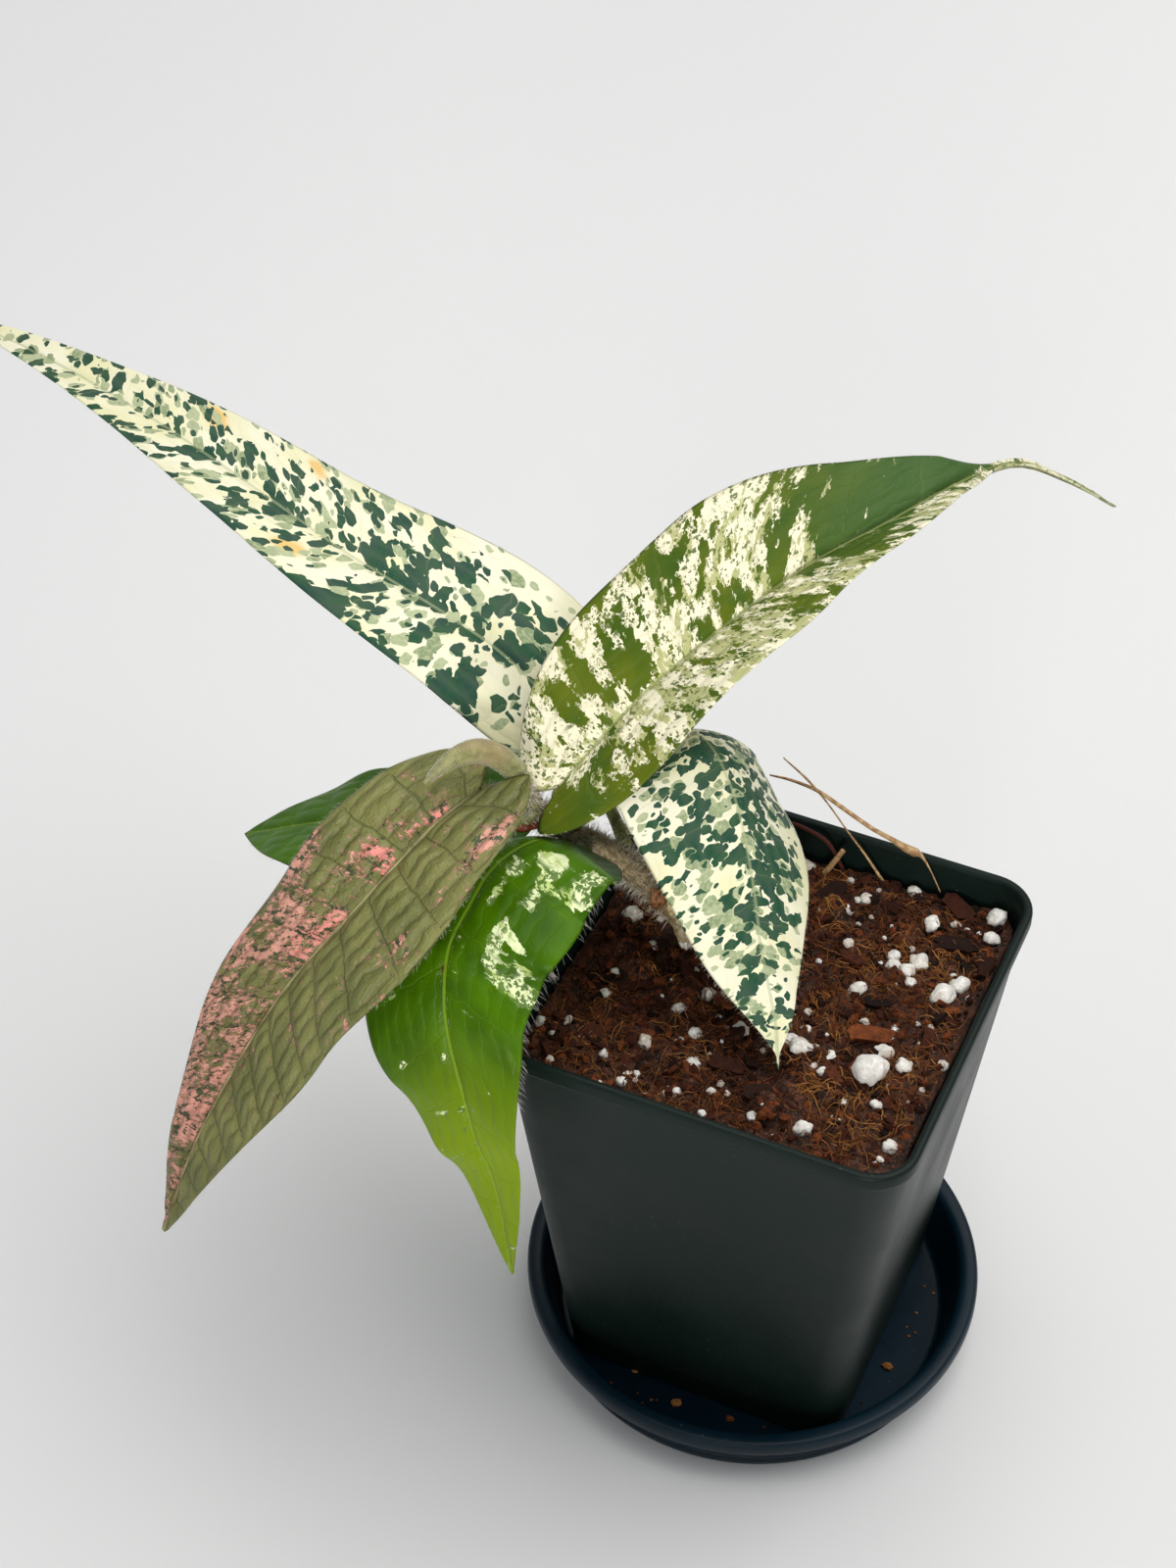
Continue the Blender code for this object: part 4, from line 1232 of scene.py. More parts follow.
def make_bud():
    line = MeasuredLine([place for place, _ in BUD])
    radii = [radius for _, radius in BUD]
    points = []
    felt = Pile()
    for k, (distance, centre, along) in enumerate(line.stops(BUD_RINGS)):
        flat = along.cross(CREASE_WAY).normalized()
        wide = flat.cross(along)
        radius = float(line.blend(distance, radii))
        for i in range(BUD_SIDES):
            angle = 2 * math.pi * i / BUD_SIDES
            turn = (angle - math.pi / 2 + math.pi) % (2 * math.pi) - math.pi
            crease = 1 - 0.2 * math.exp(-(turn / 0.22) ** 2)
            place = (centre + flat * math.cos(angle) * radius * 1.08
                     + wide * math.sin(angle) * radius * crease)
            points.append(place)
            if 2 < k < BUD_RINGS - 3 and draw.random() < 0.9:
                way = (place - centre).normalized() * 0.8 + along * draw.uniform(0.3, 1.1)
                add_hair(felt, place, way, draw.uniform(0.35, 0.8), 0.035, 0.0)
    faces = rings_to_faces(BUD_RINGS, BUD_SIDES)
    add_piece("fine_bud", points, faces, [bud_look()], replaces=("bud",))
    add_piece("bud_felt", felt.points, felt.faces, [pale_hair])


make_bud()

# %% [markdown]
# The saucer and the pot are injection moulded. The saucer is a turned shape: its section is
# a line of points whose corners are rounded off, swept round the axis. The pot is a loft of
# rounded squares. Both are black, but not pure black: the plastic is satin, picks up dust
# and has a very fine texture that softens what it reflects.

# %% Rounded sections
GAP = 0.3


CORNER_STEPS = 4


def round_off(profile, radius):
    """A line of points with each corner replaced by a short curve."""
    made = [profile[0]]
    for before, corner, after in zip(profile, profile[1:], profile[2:]):
        start, spot, end = Vector(before), Vector(corner), Vector(after)
        back = min(radius, (start - spot).length * 0.45)
        ahead = min(radius, (end - spot).length * 0.45)
        first = spot + (start - spot).normalized() * back
        last = spot + (end - spot).normalized() * ahead
        for k in range(CORNER_STEPS + 1):
            t = k / CORNER_STEPS
            made.append(tuple((1 - t) ** 2 * first + 2 * t * (1 - t) * spot + t * t * last))
    made.append(profile[-1])
    return made


def plastic_look(name, colour, dust, roughness, specular):
    look = Look(name, roughness, Specular_IOR_Level=specular)
    fine = look.noise(look.position(), 2600, 3, 0.6)
    cloudy = look.noise(look.position(), 35, 4, 0.6)
    specks = look.cells(look.position(), 420).step(0.05, 0.12, 1, 0)
    specks = specks * look.noise(look.position(), 60, 2).step(0.52, 0.7)
    base = look.mix(cloudy.step(0.4, 0.75) * 0.35, colour, dust)
    look.colour(look.mix(specks * 0.3, base, paint("7C7F78")))
    look.roughness(cloudy.step(0.3, 0.7, roughness - 0.05, roughness + 0.08) + fine * 0.04)
    look.relief(fine, 0.03)
    return look


# %% Saucer
SAUCER_RADIUS = 52.0
SAUCER_HEIGHT = 15.0
SAUCER_RIM_WIDTH = 3.8
SAUCER_APRON = 3.7
SAUCER_FLOOR = 2.0
SAUCER_FOOT_RADIUS = 46.5
SAUCER_FLOOR_RADIUS = 44.6
SAUCER_RIDGES = 4  # fine rings moulded on the outer side
SAUCER_STEPS = 160


def make_saucer():
    rim_inner = SAUCER_RADIUS - SAUCER_RIM_WIDTH
    apron_foot = SAUCER_HEIGHT - SAUCER_APRON
    ridges = []
    for k in range(SAUCER_RIDGES):
        share = (k + 0.6) / (SAUCER_RIDGES + 0.4)
        out = SAUCER_RADIUS - 1.8 + (SAUCER_FOOT_RADIUS + 2.1 - SAUCER_RADIUS) * share
        down = (apron_foot + 0.6) * (1 - share)
        ridges += [(out - 0.25, down + 0.55), (out + 0.15, down), (out - 0.3, down - 0.5)]
    section = round_off([
        (0.5, SAUCER_FLOOR),
        (SAUCER_FLOOR_RADIUS, SAUCER_FLOOR),
        (rim_inner - 0.5, SAUCER_HEIGHT - 1.0),
        (rim_inner + 0.6, SAUCER_HEIGHT),
        (SAUCER_RADIUS - 0.6, SAUCER_HEIGHT),
        (SAUCER_RADIUS, SAUCER_HEIGHT - 1.2),
        (SAUCER_RADIUS, apron_foot),
        (SAUCER_RADIUS - 1.2, apron_foot),
        (SAUCER_RADIUS - 1.8, apron_foot + 0.6),
        *ridges,
        (SAUCER_FOOT_RADIUS + 0.3, 0.0),
        (0.5, 0.0),
    ], 1.0)
    points = []
    for radius, height in section:
        for i in range(SAUCER_STEPS):
            angle = 2 * math.pi * i / SAUCER_STEPS
            points.append((radius * math.cos(angle), radius * math.sin(angle), height))
    faces = [tuple(reversed(face)) for face in rings_to_faces(len(section), SAUCER_STEPS)]
    look = plastic_look("saucer_plastic", paint("061B26"), paint("0D2C3A"), 0.32, 0.2)
    add_piece("fine_saucer", points, faces, [look], replaces=("saucer",))


make_saucer()

# %% Pot
POT_RIM_HALF = 45.0
POT_RIM_HEIGHT = 112.6
POT_RIM_BAND = 4.2
POT_RIM_LEDGE = 1.3
POT_FOOT_HALF = 32.7
POT_FOOT_HEIGHT = 2.0
POT_WALL = 1.2
POT_CORNER_TOP = 8.8
POT_CORNER_FOOT = 6.4
POT_BASE = SAUCER_FLOOR + GAP
POT_LEDGE = POT_RIM_HEIGHT - POT_RIM_BAND


def pot_half_at(height):
    """Half side of the pot's outer wall at a height."""
    share = (height - POT_BASE) / (POT_LEDGE - POT_BASE)
    return POT_FOOT_HALF + (POT_RIM_HALF - POT_RIM_LEDGE - POT_FOOT_HALF) * share


def pot_corner_at(height):
    share = (height - POT_BASE) / (POT_RIM_HEIGHT - POT_BASE)
    return POT_CORNER_FOOT + (POT_CORNER_TOP - POT_CORNER_FOOT) * share


def rounded_square(half, corner, height, arc_steps, flat_steps=1):
    """Points round a square with arcs at its corners, and points along its flats."""
    ring = []
    for quarter in range(4):
        side_x = 1 if quarter in (0, 3) else -1
        side_y = 1 if quarter in (0, 1) else -1
        for step in range(arc_steps + 1):
            angle = math.pi / 2 * (quarter + step / arc_steps)
            ring.append((side_x * (half - corner) + corner * math.cos(angle),
                         side_y * (half - corner) + corner * math.sin(angle), height))
        reach = half - corner
        next_x, next_y = ((-reach, half), (-half, -reach), (reach, -half), (half, reach))[quarter]
        x, y, _ = ring[-1]
        for step in range(1, flat_steps):
            share = step / flat_steps
            ring.append((x + (next_x - x) * share, y + (next_y - y) * share, height))
    return ring


def make_pot():
    floor_under = POT_BASE + POT_FOOT_HEIGHT
    floor_top = floor_under + POT_WALL
    inner_top = pot_half_at(POT_LEDGE) - POT_WALL
    inner_foot = pot_half_at(floor_top) - POT_WALL
    section = round_off([
        (2.0, floor_under),
        (POT_FOOT_HALF - 1.8, floor_under),
        (POT_FOOT_HALF - 1.4, POT_BASE),
        (POT_FOOT_HALF, POT_BASE),
        (pot_half_at(POT_LEDGE), POT_LEDGE),
        (POT_RIM_HALF, POT_LEDGE + 0.3),
        (POT_RIM_HALF, POT_RIM_HEIGHT),
        (POT_RIM_HALF - 2.0, POT_RIM_HEIGHT),
        (inner_top, POT_LEDGE - 1.0),
        (inner_foot, floor_top),
        (2.0, floor_top),
    ], 1.0)
    points = []
    size = 0
    for half, height in section:
        corner = pot_corner_at(height) + half - pot_half_at(min(height, POT_LEDGE))
        ring = rounded_square(half, min(max(corner, 0.8), half), height, 12, 3)
        size = len(ring)
        points.extend(ring)
    faces = rings_to_faces(len(section), size)
    look = plastic_look("pot_plastic", paint("0F1C18"), paint("182924"), 0.4, 0.16)
    add_piece("fine_pot", points, faces, [look], replaces=("pot",))


make_pot()

# %% [markdown]
# The potting mix is mostly coconut fibre and bark crumbs with white perlite. The bed under
# it all is the frame's own height rule on a much finer grid, with four more layers of noise
# for crumbs and for the dark gaps between them. Everything loose is then laid on the bed by
# one function that reads the same height.

# %% Bed of the potting mix
SOIL_MIDDLE = 105.5
SOIL_SLOPE = (0.035, -0.04)
SOIL_LUMPS = 44
SOIL_LUMP_SIZES = (2.4, 4.6)
SOIL_LUMP_MARGIN = 5
STEM_CLEARING = 12  # no lump has its middle nearer to the stem than this
SOIL_HALF = pot_half_at(SOIL_MIDDLE - 4) - POT_WALL - GAP
SOIL_CORNER = pot_corner_at(SOIL_MIDDLE) - POT_WALL - GAP - 0.3
SOIL_RINGS = 80


def soil_lumps():
    lump_draw = random.Random(7)
    stem_x, stem_y, _ = STEM[2][0]
    lumps = []
    for _ in range(SOIL_LUMPS):
        x = lump_draw.uniform(-SOIL_HALF + SOIL_LUMP_MARGIN, SOIL_HALF - SOIL_LUMP_MARGIN)
        y = lump_draw.uniform(-SOIL_HALF + SOIL_LUMP_MARGIN, SOIL_HALF - SOIL_LUMP_MARGIN)
        size = lump_draw.uniform(*SOIL_LUMP_SIZES)
        if math.hypot(x - stem_x, y - stem_y) > STEM_CLEARING:
            lumps.append((x, y, size))
    return lumps


lumps = soil_lumps()


def soil_height(x, y):
    """Height of the mix at a place, as the frame has it."""
    level = SOIL_MIDDLE + SOIL_SLOPE[0] * x + SOIL_SLOPE[1] * y
    level += 1.1 * noise.noise(Vector((x, y, 0)) * 0.11)
    level += 0.7 * noise.noise(Vector((x, y, 9)) * 0.31)
    for lump_x, lump_y, size in lumps:
        near = 1 - ((x - lump_x) ** 2 + (y - lump_y) ** 2) / size ** 2
        if near > 0:
            level += 0.45 * size * math.sqrt(near)
    return level


def crumb_height(x, y):
    """The same height with the crumbs and fibres that are too small for the frame."""
    fine = 0.9 * noise.noise(Vector((x, y, 3)) * 0.45)
    fine += 0.8 * noise.noise(Vector((x, y, 3)) * 0.9)
    fine -= 1.3 * max(0.0, noise.noise(Vector((x, y, 17)) * 0.55) - 0.12)
    fine += 0.35 * noise.noise(Vector((x, y, 5)) * 2.3)
    return soil_height(x, y) + fine


def soil_look():
    look = Look("potting_mix", 0.92)
    where = look.position()
    coarse = look.noise(where, 260, 4, 0.65)
    fine = look.noise(where, 1500, 3, 0.6)
    colour = look.mix(coarse.step(0.38, 0.62), paint("1A0E08"), paint("4E2A19"))
    colour = look.mix(fine.step(0.52, 0.7) * 0.7, colour, paint("83502F"))
    look.colour(colour)
    look.relief(coarse * 0.6 + fine * 0.4, 1.0)
    return look


def make_soil():
    outline = rounded_square(SOIL_HALF, SOIL_CORNER, 0, 8, 44)
    points = [(0.0, 0.0, crumb_height(0, 0))]
    for k in range(1, SOIL_RINGS + 1):
        share = k / SOIL_RINGS
        for x, y, _ in outline:
            points.append((x * share, y * share, crumb_height(x * share, y * share)))
    size = len(outline)
    faces = [(0, 1 + i, 1 + (i + 1) % size) for i in range(size)]
    for k in range(SOIL_RINGS - 1):
        for i in range(size):
            a = 1 + k * size + i
            b = 1 + k * size + (i + 1) % size
            faces.append((a, a + size, b + size, b))
    floor = POT_BASE + POT_FOOT_HEIGHT + POT_WALL + GAP
    foot_half = pot_half_at(floor) - POT_WALL - GAP - 0.7
    base = len(points)
    foot = rounded_square(foot_half, POT_CORNER_FOOT - POT_WALL - GAP - 0.7, floor, 8, 44)
    points.extend(foot)
    last = 1 + (SOIL_RINGS - 1) * size
    for i in range(size):
        j = (i + 1) % size
        faces.append((last + i, base + i, base + j, last + j))
    faces.append(tuple(range(base + size - 1, base - 1, -1)))
    add_piece("fine_soil", points, faces, [soil_look()], replaces=("soil",))


make_soil()

# %% [markdown]
# Bark chips, crumbs and fibres lie loose on the bed. A chip is a small slab with a ragged
# outline, a crumb is a dented ball, and a fibre is a thin bent bar. Every one carries a
# random number on its faces, from which one material gives it its own shade of brown. A
# fibre's number also rises towards the right, which is painted light on the lit side.

# %% Shapes for loose bits
class ShadedPile(Pile):
    """A pile whose shapes each remember a random shade."""

    def __init__(self):
        super().__init__()
        self.shades = []

    def add(self, points, faces, shade=0.5):
        super().add(points, faces)
        self.shades.extend([shade] * len(faces))


def add_shaded(name, pile, look, smooth=False):
    made = add_piece(name, pile.points, pile.faces, [look], smooth=smooth)
    layer = made.data.attributes.new("shade", "FLOAT", "FACE")
    layer.data.foreach_set("value", pile.shades)


def unit_ball(divisions):
    ball = bmesh.new()
    bmesh.ops.create_icosphere(ball, subdivisions=divisions, radius=1.0)
    points = [vert.co.copy() for vert in ball.verts]
    faces = [tuple(vert.index for vert in face.verts) for face in ball.faces]
    ball.free()
    return points, faces


COARSE_BALL = unit_ball(1)
FINE_BALL = unit_ball(3)


def dented(ball, size, dents, seed):
    """A ball stretched to a size, with its surface pushed in and out by noise."""
    points, faces = ball
    made = []
    for p in points:
        push = 1 + dents * noise.noise(p * 1.4 + Vector((seed, 0, 0)))
        push += dents * 0.5 * noise.noise(p * 3.1 + Vector((0, seed, 0)))
        made.append(Vector((p.x * size[0], p.y * size[1], p.z * size[2])) * push)
    return made, faces


def slab(length, width, thickness, sides):
    """A chip: a ragged outline, thinner at one end."""
    top = []
    bottom = []
    for k in range(sides):
        angle = 2 * math.pi * (k + draw.uniform(-0.25, 0.25)) / sides
        x = math.copysign(abs(math.cos(angle)) ** 0.4, math.cos(angle)) * length / 2
        x *= draw.uniform(0.75, 1.05)
        y = math.sin(angle) * width / 2 * draw.uniform(0.5, 1.15)
        half = thickness / 2 * (1 - 0.35 * x / length)
        top.append(Vector((x, y, half + draw.uniform(-0.1, 0.1))))
        bottom.append(Vector((x * 0.92, y * 0.9, -half)))
    faces = [tuple(range(sides)), tuple(range(2 * sides - 1, sides - 1, -1))]
    for k in range(sides):
        j = (k + 1) % sides
        faces.append((k, sides + k, sides + j, j))
    return top + bottom, faces


def kept_in_pot(points):
    """Moves a shape inwards until all of it is clear of the pot's wall."""
    straight = SOIL_HALF - SOIL_CORNER
    for _ in range(3):
        push = Vector((0, 0, 0))
        for p in points:
            out = Vector((p.x - min(max(p.x, -straight), straight),
                          p.y - min(max(p.y, -straight), straight), 0))
            past = out.length - SOIL_CORNER
            if past > push.length:
                push = out.normalized() * past
        points = [p - push for p in points]
    return points


def lay_down(points, x, y, sink, tilt):
    """Turns a shape at random, tips it a little and sets it on the bed."""
    turn = Matrix.Rotation(draw.uniform(0, 2 * math.pi), 3, "Z")
    tip = Matrix.Rotation(draw.gauss(0, tilt), 3, "X") @ Matrix.Rotation(draw.gauss(0, tilt), 3, "Y")
    spot = Vector((x, y, crumb_height(x, y) - sink))
    return kept_in_pot([spot + tip @ (turn @ p) for p in points])


def bed_place(margin):
    """A random place on the bed, inside its rounded corners and off the stem."""
    while True:
        x = draw.uniform(-SOIL_HALF + margin, SOIL_HALF - margin)
        y = draw.uniform(-SOIL_HALF + margin, SOIL_HALF - margin)
        corner = max(abs(x), abs(y)) + 0.4 * min(abs(x), abs(y))
        if corner > SOIL_HALF * 1.3 - margin:
            continue
        if math.hypot(x - STEM[3][0][0], y - STEM[3][0][1]) > 5:
            return x, y


def brown_look(name, dark, middle, light, grain_scale):
    look = Look(name, 0.85, Specular_IOR_Level=0.2)
    shade = look.attribute("shade", "Fac")
    grain = look.noise(look.position(), grain_scale, 4, 0.65)
    colour = look.mix(shade.step(0.0, 0.5), dark, middle)
    colour = look.mix(shade.step(0.5, 1.0), colour, light)
    look.colour(look.mix(grain.step(0.35, 0.7) * 0.6, colour, dark))
    look.relief(grain, 0.4)
    return look


# %% Bark, crumbs and fibres
CHIPS_SEEN = (
    # x and y in the picture, length and width in millimetres, turn in degrees and shade
    (888, 1059, 11.0, 4.6, 20, 0.95), (848, 913, 8.5, 5.0, 60, 0.15),
    (988, 913, 10.0, 5.5, -30, 0.35), (974, 965, 9.0, 4.0, 10, 0.1), (912, 904, 8.0, 4.0, 75, 0.3),
    (945, 1065, 7.0, 3.0, 100, 0.5), (903, 1130, 6.0, 3.0, 50, 0.6), (850, 1100, 6.5, 3.0, 140, 0.7),
    (640, 1010, 9.0, 4.5, 40, 0.3), (700, 990, 8.0, 3.5, 120, 0.4), (740, 1090, 8.5, 4.0, 0, 0.3),
    (600, 1060, 8.0, 3.5, 70, 0.5), (870, 980, 7.0, 3.0, 160, 0.6), (1010, 990, 7.0, 3.4, 80, 0.2),
)
CHIPS = 420
CRUMBS = 2600
FIBRES = 3400
bark = brown_look("bark_chips", paint("170A05"), paint("472112"), paint("7E4220"), 700)
fibre = brown_look("coconut_fibre", paint("3E1F0E"), paint("7E4824"), paint("B47B42"), 900)


def where_seen(x, y):
    """The place on the bed that the camera sees at a point of the picture."""
    start = camera.location / MM
    way = sight_line(x, y)
    height = SOIL_MIDDLE
    for _ in range(6):
        spot = start + way * ((height - start.z) / way.z)
        height = crumb_height(spot.x, spot.y)
    return spot.x, spot.y


def scatter_bark():
    pile = ShadedPile()
    for x, y, length, width, turn, shade in CHIPS_SEEN:
        points, faces = slab(length, width, 1.4, 13)
        x, y = where_seen(x, y)
        spin = Matrix.Rotation(math.radians(turn), 3, "Z")
        tip = Matrix.Rotation(draw.uniform(0.1, 0.3), 3, "X")
        spot = Vector((x, y, crumb_height(x, y) + 0.8))
        pile.add(kept_in_pot([spot + spin @ (tip @ p) for p in points]), faces, shade)
    for _ in range(CHIPS):
        length = draw.uniform(1.6, 4.2) * draw.choice((1, 1, 1, 1.7))
        width = length * draw.uniform(0.4, 0.8)
        points, faces = slab(length, width, draw.uniform(0.5, 1.3), 8)
        x, y = bed_place(2.5)
        pile.add(lay_down(points, x, y, 0.1, 0.35), faces, draw.random())
    add_shaded("bark_chips", pile, bark)


def scatter_crumbs():
    pile = ShadedPile()
    for _ in range(CRUMBS):
        reach = draw.uniform(0.3, 1.0) * draw.choice((1, 1, 1.6))
        size = (reach, reach * draw.uniform(0.6, 1.0), reach * draw.uniform(0.5, 0.9))
        points, faces = dented(COARSE_BALL, size, 0.5, draw.uniform(0, 99))
        x, y = bed_place(1.0)
        pile.add(lay_down(points, x, y, reach * 0.2, 0.6), faces, draw.random())
    add_shaded("coir_crumbs", pile, bark)


def scatter_fibres():
    pile = ShadedPile()
    for _ in range(FIBRES):
        length = draw.uniform(2.0, 7.0) * draw.choice((1, 1, 1, 1.8))
        thickness = draw.uniform(0.05, 0.15)
        x, y = bed_place(2.0)
        # fibres of one tuft share a heading and a shade, and the shade also rises towards the
        # right: painted light on the lit side of the bed
        tuft = noise.noise(Vector((x, y, 31)) * 0.12)
        heading = 9 * tuft + draw.gauss(0, 0.7)
        shade = min(max(0.5 + 1.2 * tuft + 0.004 * x + draw.gauss(0, 0.2), 0), 1)
        bend = draw.gauss(0, 0.16)
        stations = []
        lift = draw.uniform(0.1, 1.3)
        pieces = 6
        for k in range(pieces + 1):
            t = k / pieces
            arch = math.sin(math.pi * t) * lift
            stations.append((Vector((x, y, crumb_height(x, y) + thickness + arch)),
                             thickness * (1 - 0.5 * abs(2 * t - 1))))
            x += math.cos(heading) * length / pieces
            y += math.sin(heading) * length / pieces
            x = min(max(x, -SOIL_HALF + 0.8), SOIL_HALF - 0.8)
            y = min(max(y, -SOIL_HALF + 0.8), SOIL_HALF - 0.8)
            heading += bend + draw.gauss(0, 0.22)
        points, faces = tube(stations, 3)
        pile.add(kept_in_pot(points), faces, shade)
    add_shaded("coconut_fibres", pile, fibre)


scatter_bark()
scatter_crumbs()
scatter_fibres()

# %% [markdown]
# Perlite is a white, foamed glass: rounded, dented grains from 2 to 8 mm. The largest are
# placed where the picture shows them: a line is followed from the camera through a point of
# the picture until it meets the bed. Smaller ones are scattered between.

# %% Perlite
PERLITE_SEEN = (
    # x and y in the picture, and the size in millimetres
    (888, 1092, 7.2), (962, 1017, 6.0), (978, 1008, 4.6), (818, 1070, 5.0), (806, 1064, 3.6),
    (901, 1077, 4.4), (819, 1153, 4.4), (1031, 928, 5.2), (1012, 959, 3.8), (875, 1011, 4.4),
    (938, 983, 4.4), (911, 987, 3.6), (925, 992, 3.4), (912, 978, 3.2), (929, 1003, 2.8),
    (951, 943, 3.6), (973, 927, 3.4), (975, 945, 2.6), (933, 911, 3.6), (884, 918, 3.0),
    (866, 928, 2.8), (866, 965, 2.6), (822, 885, 4.6), (840, 1094, 3.4), (922, 1089, 3.6),
    (962, 1089, 2.6), (894, 1128, 2.8), (768, 1134, 2.6), (726, 1115, 2.2), (689, 1115, 2.4),
    (693, 1030, 3.8), (724, 1017, 4.0), (710, 1057, 3.4), (755, 1052, 3.6), (658, 1064, 3.6),
    (634, 1104, 2.4), (706, 1087, 3.8), (646, 935, 4.6), (907, 1172, 3.2), (882, 1044, 2.2),
    (824, 1035, 2.0), (615, 1075, 2.6), (618, 1015, 3.0), (552, 1046, 3.4), (702, 965, 3.4),
)
SMALL_GRAINS = 130


def perlite_look():
    look = Look("perlite", 0.75)
    browning = look.attribute("shade", "Fac")
    grain = look.noise(look.position(), 1100, 3, 0.6)
    pits = look.cells(look.position(), 1500)
    stain = (look.noise(look.position(), 220, 2) + browning * 0.2).step(0.5, 0.75)
    white = look.mix(grain.step(0.3, 0.7), paint("DEDAD0"), paint("F6F4EF"))
    look.colour(look.mix(stain * 0.55, white, paint("A98A68")))
    look.relief(grain * 0.5 + pits * 0.5, 0.25)
    return look


def add_grain(pile, x, y, size, browning):
    reach = size / 2
    shape = (reach, reach * draw.uniform(0.75, 1.0), reach * draw.uniform(0.65, 0.9))
    points, faces = dented(FINE_BALL, shape, 0.3, draw.uniform(0, 99))
    pile.add(lay_down(points, x, y, -reach * 0.15, 0.3), faces, browning)


def scatter_perlite():
    pile = ShadedPile()
    for x, y, size in PERLITE_SEEN:
        add_grain(pile, *where_seen(x, y), size, draw.uniform(0, 0.35))
    for _ in range(SMALL_GRAINS):
        add_grain(pile, *bed_place(2.0), draw.uniform(0.7, 2.0), draw.uniform(0.1, 1.0))
    add_shaded("perlite_grains", pile, perlite_look(), smooth=True)


scatter_perlite()

# %% [markdown]
# A little of the mix has dropped into the saucer. Four bits are large enough to be seen one
# by one, and they are placed by the picture. Fine crumbs lie in the ring round the pot.

# %% Crumbs in the saucer
DROPPED_SEEN = (
    # x and y in the picture, the size in millimetres and the shade
    (690, 1433, 1.5, 1.0), (745, 1448, 1.2, 0.6), (905, 1395, 1.4, 0.8), (648, 1400, 1.0, 0.9),
)
DROPPED_CRUMBS = 60
DROPPED_FROM_RADIUS = 37


def drop_crumbs():
    pile = ShadedPile()
    bits = []
    for x, y, size, shade in DROPPED_SEEN:
        start = camera.location / MM
        way = sight_line(x, y)
        spot = start + way * ((SAUCER_FLOOR - start.z) / way.z)
        bits.append((spot.x, spot.y, size, shade))
    while len(bits) < DROPPED_CRUMBS:
        angle = draw.uniform(0, 2 * math.pi)
        out = draw.uniform(DROPPED_FROM_RADIUS, SAUCER_FLOOR_RADIUS - 1.5)
        x, y = out * math.cos(angle), out * math.sin(angle)
        if max(abs(x), abs(y)) > POT_FOOT_HALF + 1.5:
            bits.append((x, y, draw.uniform(0.15, 0.5), draw.random()))
    for x, y, size, shade in bits:
        points, faces = dented(COARSE_BALL, (size, size * 0.7, size * 0.5), 0.5, draw.uniform(0, 99))
        spot = Vector((x, y, SAUCER_FLOOR + size * 0.35))
        pile.add([spot + p for p in points], faces, shade)
    add_shaded("saucer_crumbs", pile, fibre)


drop_crumbs()

# %% [markdown]
# A few dry straws stand out of the mix at the back, and one thin root arches beside them.
# Each is a smooth curve through a few points with its own thickness.

# %% Straws and roots
STRAWS = {
    "straw_long": (((23.5, 40.5, 106.5), 0.12), ((20.5, 41.5, 111), 0.15), ((18, 42.3, 113.6), 0.35),
                   ((16.5, 42.5, 113.9), 1.05), ((14, 42.5, 114.4), 0.9), ((11, 42.5, 115.6), 0.55),
                   ((6, 42.5, 117.2), 0.5), ((-1, 42.5, 120.6), 0.5), ((-6.5, 42.3, 123.4), 0.42),
                   ((-12.5, 42.2, 124.3), 0.35), ((-17.5, 42, 124.1), 0.2)),
    "straw_short": (((11, 40, 104.5), 0.4), ((6, 40.6, 110.5), 0.25), ((1.5, 41, 115.4), 0.2),
                    ((-4, 42, 121), 0.2), ((-9, 42.5, 125.5), 0.28), ((-15, 43, 129.3), 0.15)),
    "root_arch": (((-17, 40, 104), 0.45), ((-15, 40, 110.5), 0.5), ((-12, 40, 113.6), 0.5),
                  ((-7.5, 40, 113.4), 0.5), ((-2.5, 40, 111.3), 0.5), ((1.5, 39.8, 105), 0.4)),
    "straw_stub": (((-3, 37.5, 102.5), 0.75), ((-0.5, 38, 107.5), 0.65), ((1.5, 38.5, 112), 0.6)),
}


def straw_look():
    look = Look("dry_straw", 0.6)
    streak = look.noise(look.position(), 900, 3)
    look.colour(look.mix(streak.step(0.35, 0.65), paint("C9A878"), paint("9B7148")))
    look.relief(streak, 0.1)
    return look


STRAW_RINGS = 40


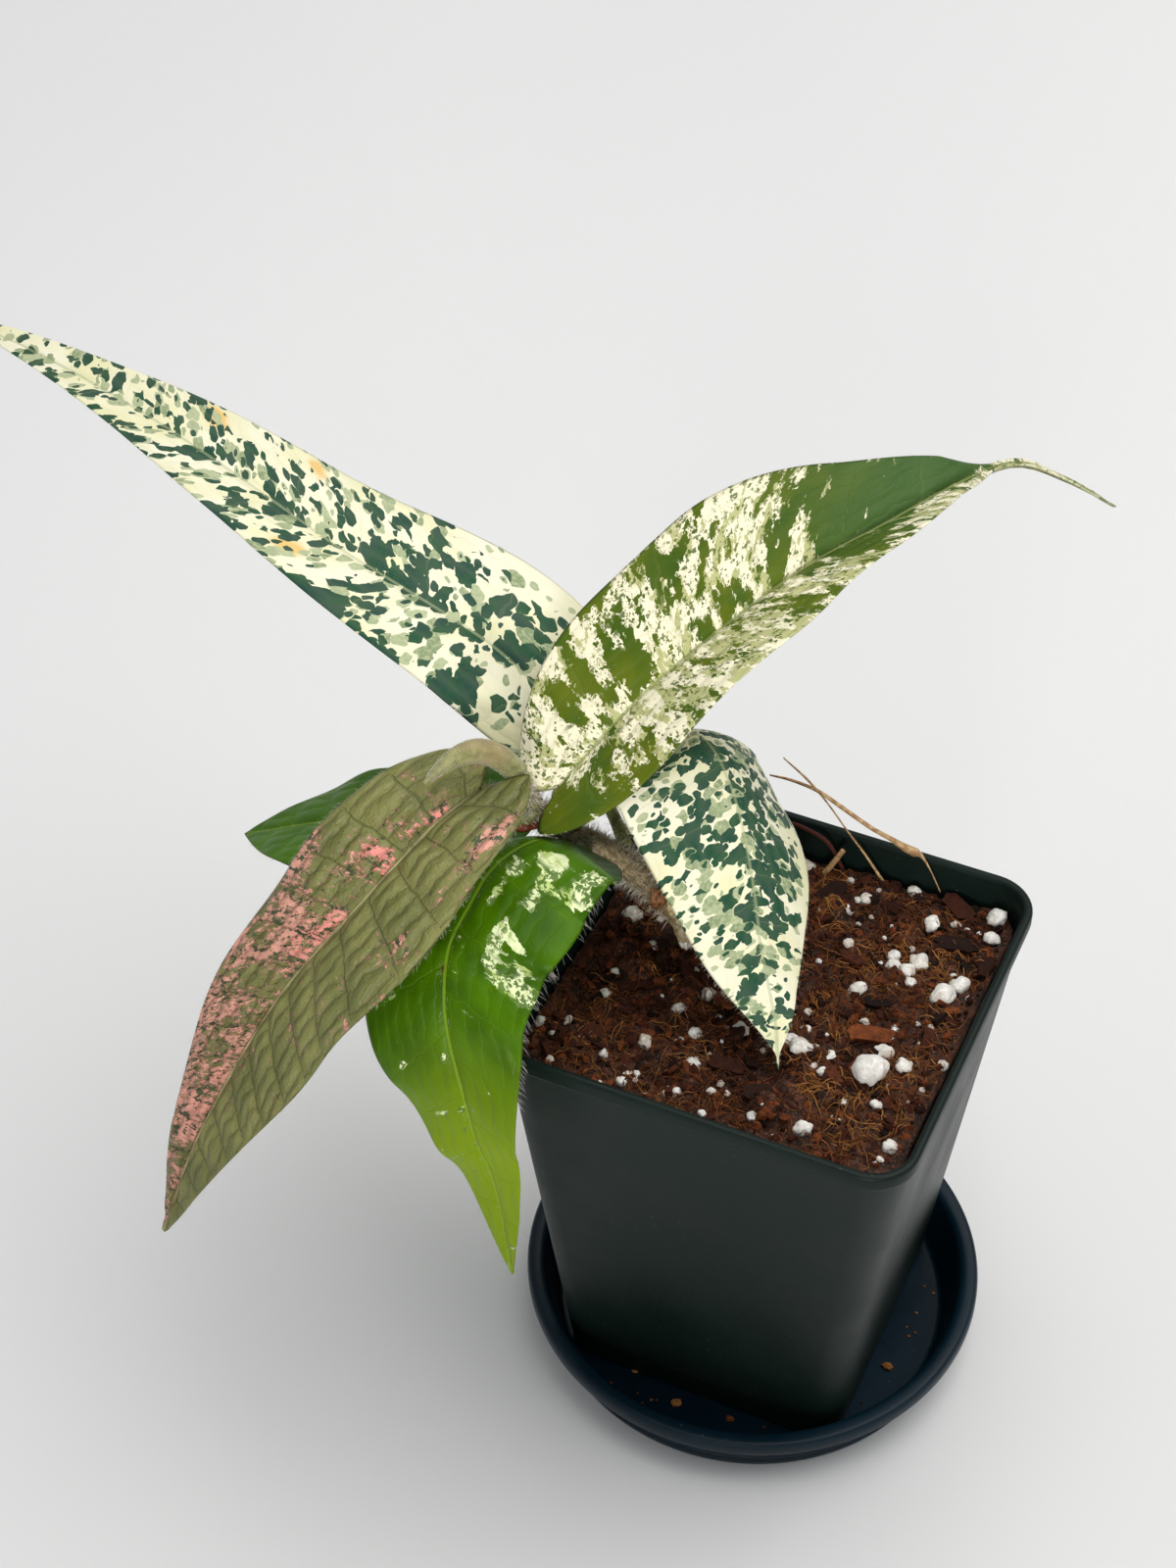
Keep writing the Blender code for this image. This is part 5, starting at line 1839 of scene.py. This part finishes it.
def make_straws():
    straw = straw_look()
    root = brown_look("red_root", paint("4A2620"), paint("6E3B30"), paint("8A5244"), 900)
    for name, stations in STRAWS.items():
        line = MeasuredLine([place for place, _ in stations])
        radii = [radius for _, radius in stations]
        smooth = [(place, float(line.blend(distance, radii)))
                  for distance, place, _ in line.stops(STRAW_RINGS)]
        points, faces = tube(smooth, 8)
        look = root if name.startswith("root") else straw
        add_piece(name, points, faces, [look])


make_straws()

# %% [markdown]
# A soft studio: a pale even sky, one broad lamp overhead, a little to the right and behind,
# which leaves what the leaves cover in shade, and a weak one in front. The floor is plain
# and pale.

# %% Floor, lights and the picture's tone
FLOOR_REACH = 40.0  # metres: a low view shows a straight horizon and not a corner
SKY_STRENGTH = 0.4


def make_floor():
    mesh = bpy.data.meshes.new("floor")
    corners = [(x * FLOOR_REACH, y * FLOOR_REACH, 0)
               for x, y in ((-1, -1), (1, -1), (1, 1), (-1, 1))]
    mesh.from_pydata(corners, [], [(0, 1, 2, 3)])
    look = Look("pale_floor", 0.6)
    look.colour(look.mix(look.noise(look.position(), 3, 2), paint("E9E9E8"), paint("EFEFEE")))
    mesh.materials.append(look.material)
    floor = bpy.data.objects.new("floor", mesh)
    bpy.context.scene.collection.objects.link(floor)


def add_lamp(name, place, target, size, power, colour, spread=180):
    data = bpy.data.lights.new(name, "AREA")
    data.shape = "RECTANGLE"
    data.size, data.size_y = size
    data.energy = power
    data.color = colour
    data.spread = math.radians(spread)
    lamp = bpy.data.objects.new(name, data)
    lamp.location = place
    lamp.rotation_euler = (Vector(target) - Vector(place)).to_track_quat("-Z", "Y").to_euler()
    bpy.context.scene.collection.objects.link(lamp)


make_floor()
world = bpy.data.worlds.new("studio")
world.use_nodes = True
sky = world.node_tree.nodes["Background"]
sky.inputs["Color"].default_value = (0.93, 0.96, 1.0, 1.0)
sky.inputs["Strength"].default_value = SKY_STRENGTH
bpy.context.scene.world = world
add_lamp("key", (0.35, 0.4, 1.8), (0, 0, 0.1), (2.1, 1.9), 30.0, (1.0, 0.985, 0.96))
add_lamp("front", (0.2, -0.78, 0.3), (-0.04, 0, 0.18), (0.2, 0.15), 0.11, (1.0, 0.98, 0.95), 26)
bpy.context.scene.view_settings.view_transform = "Standard"
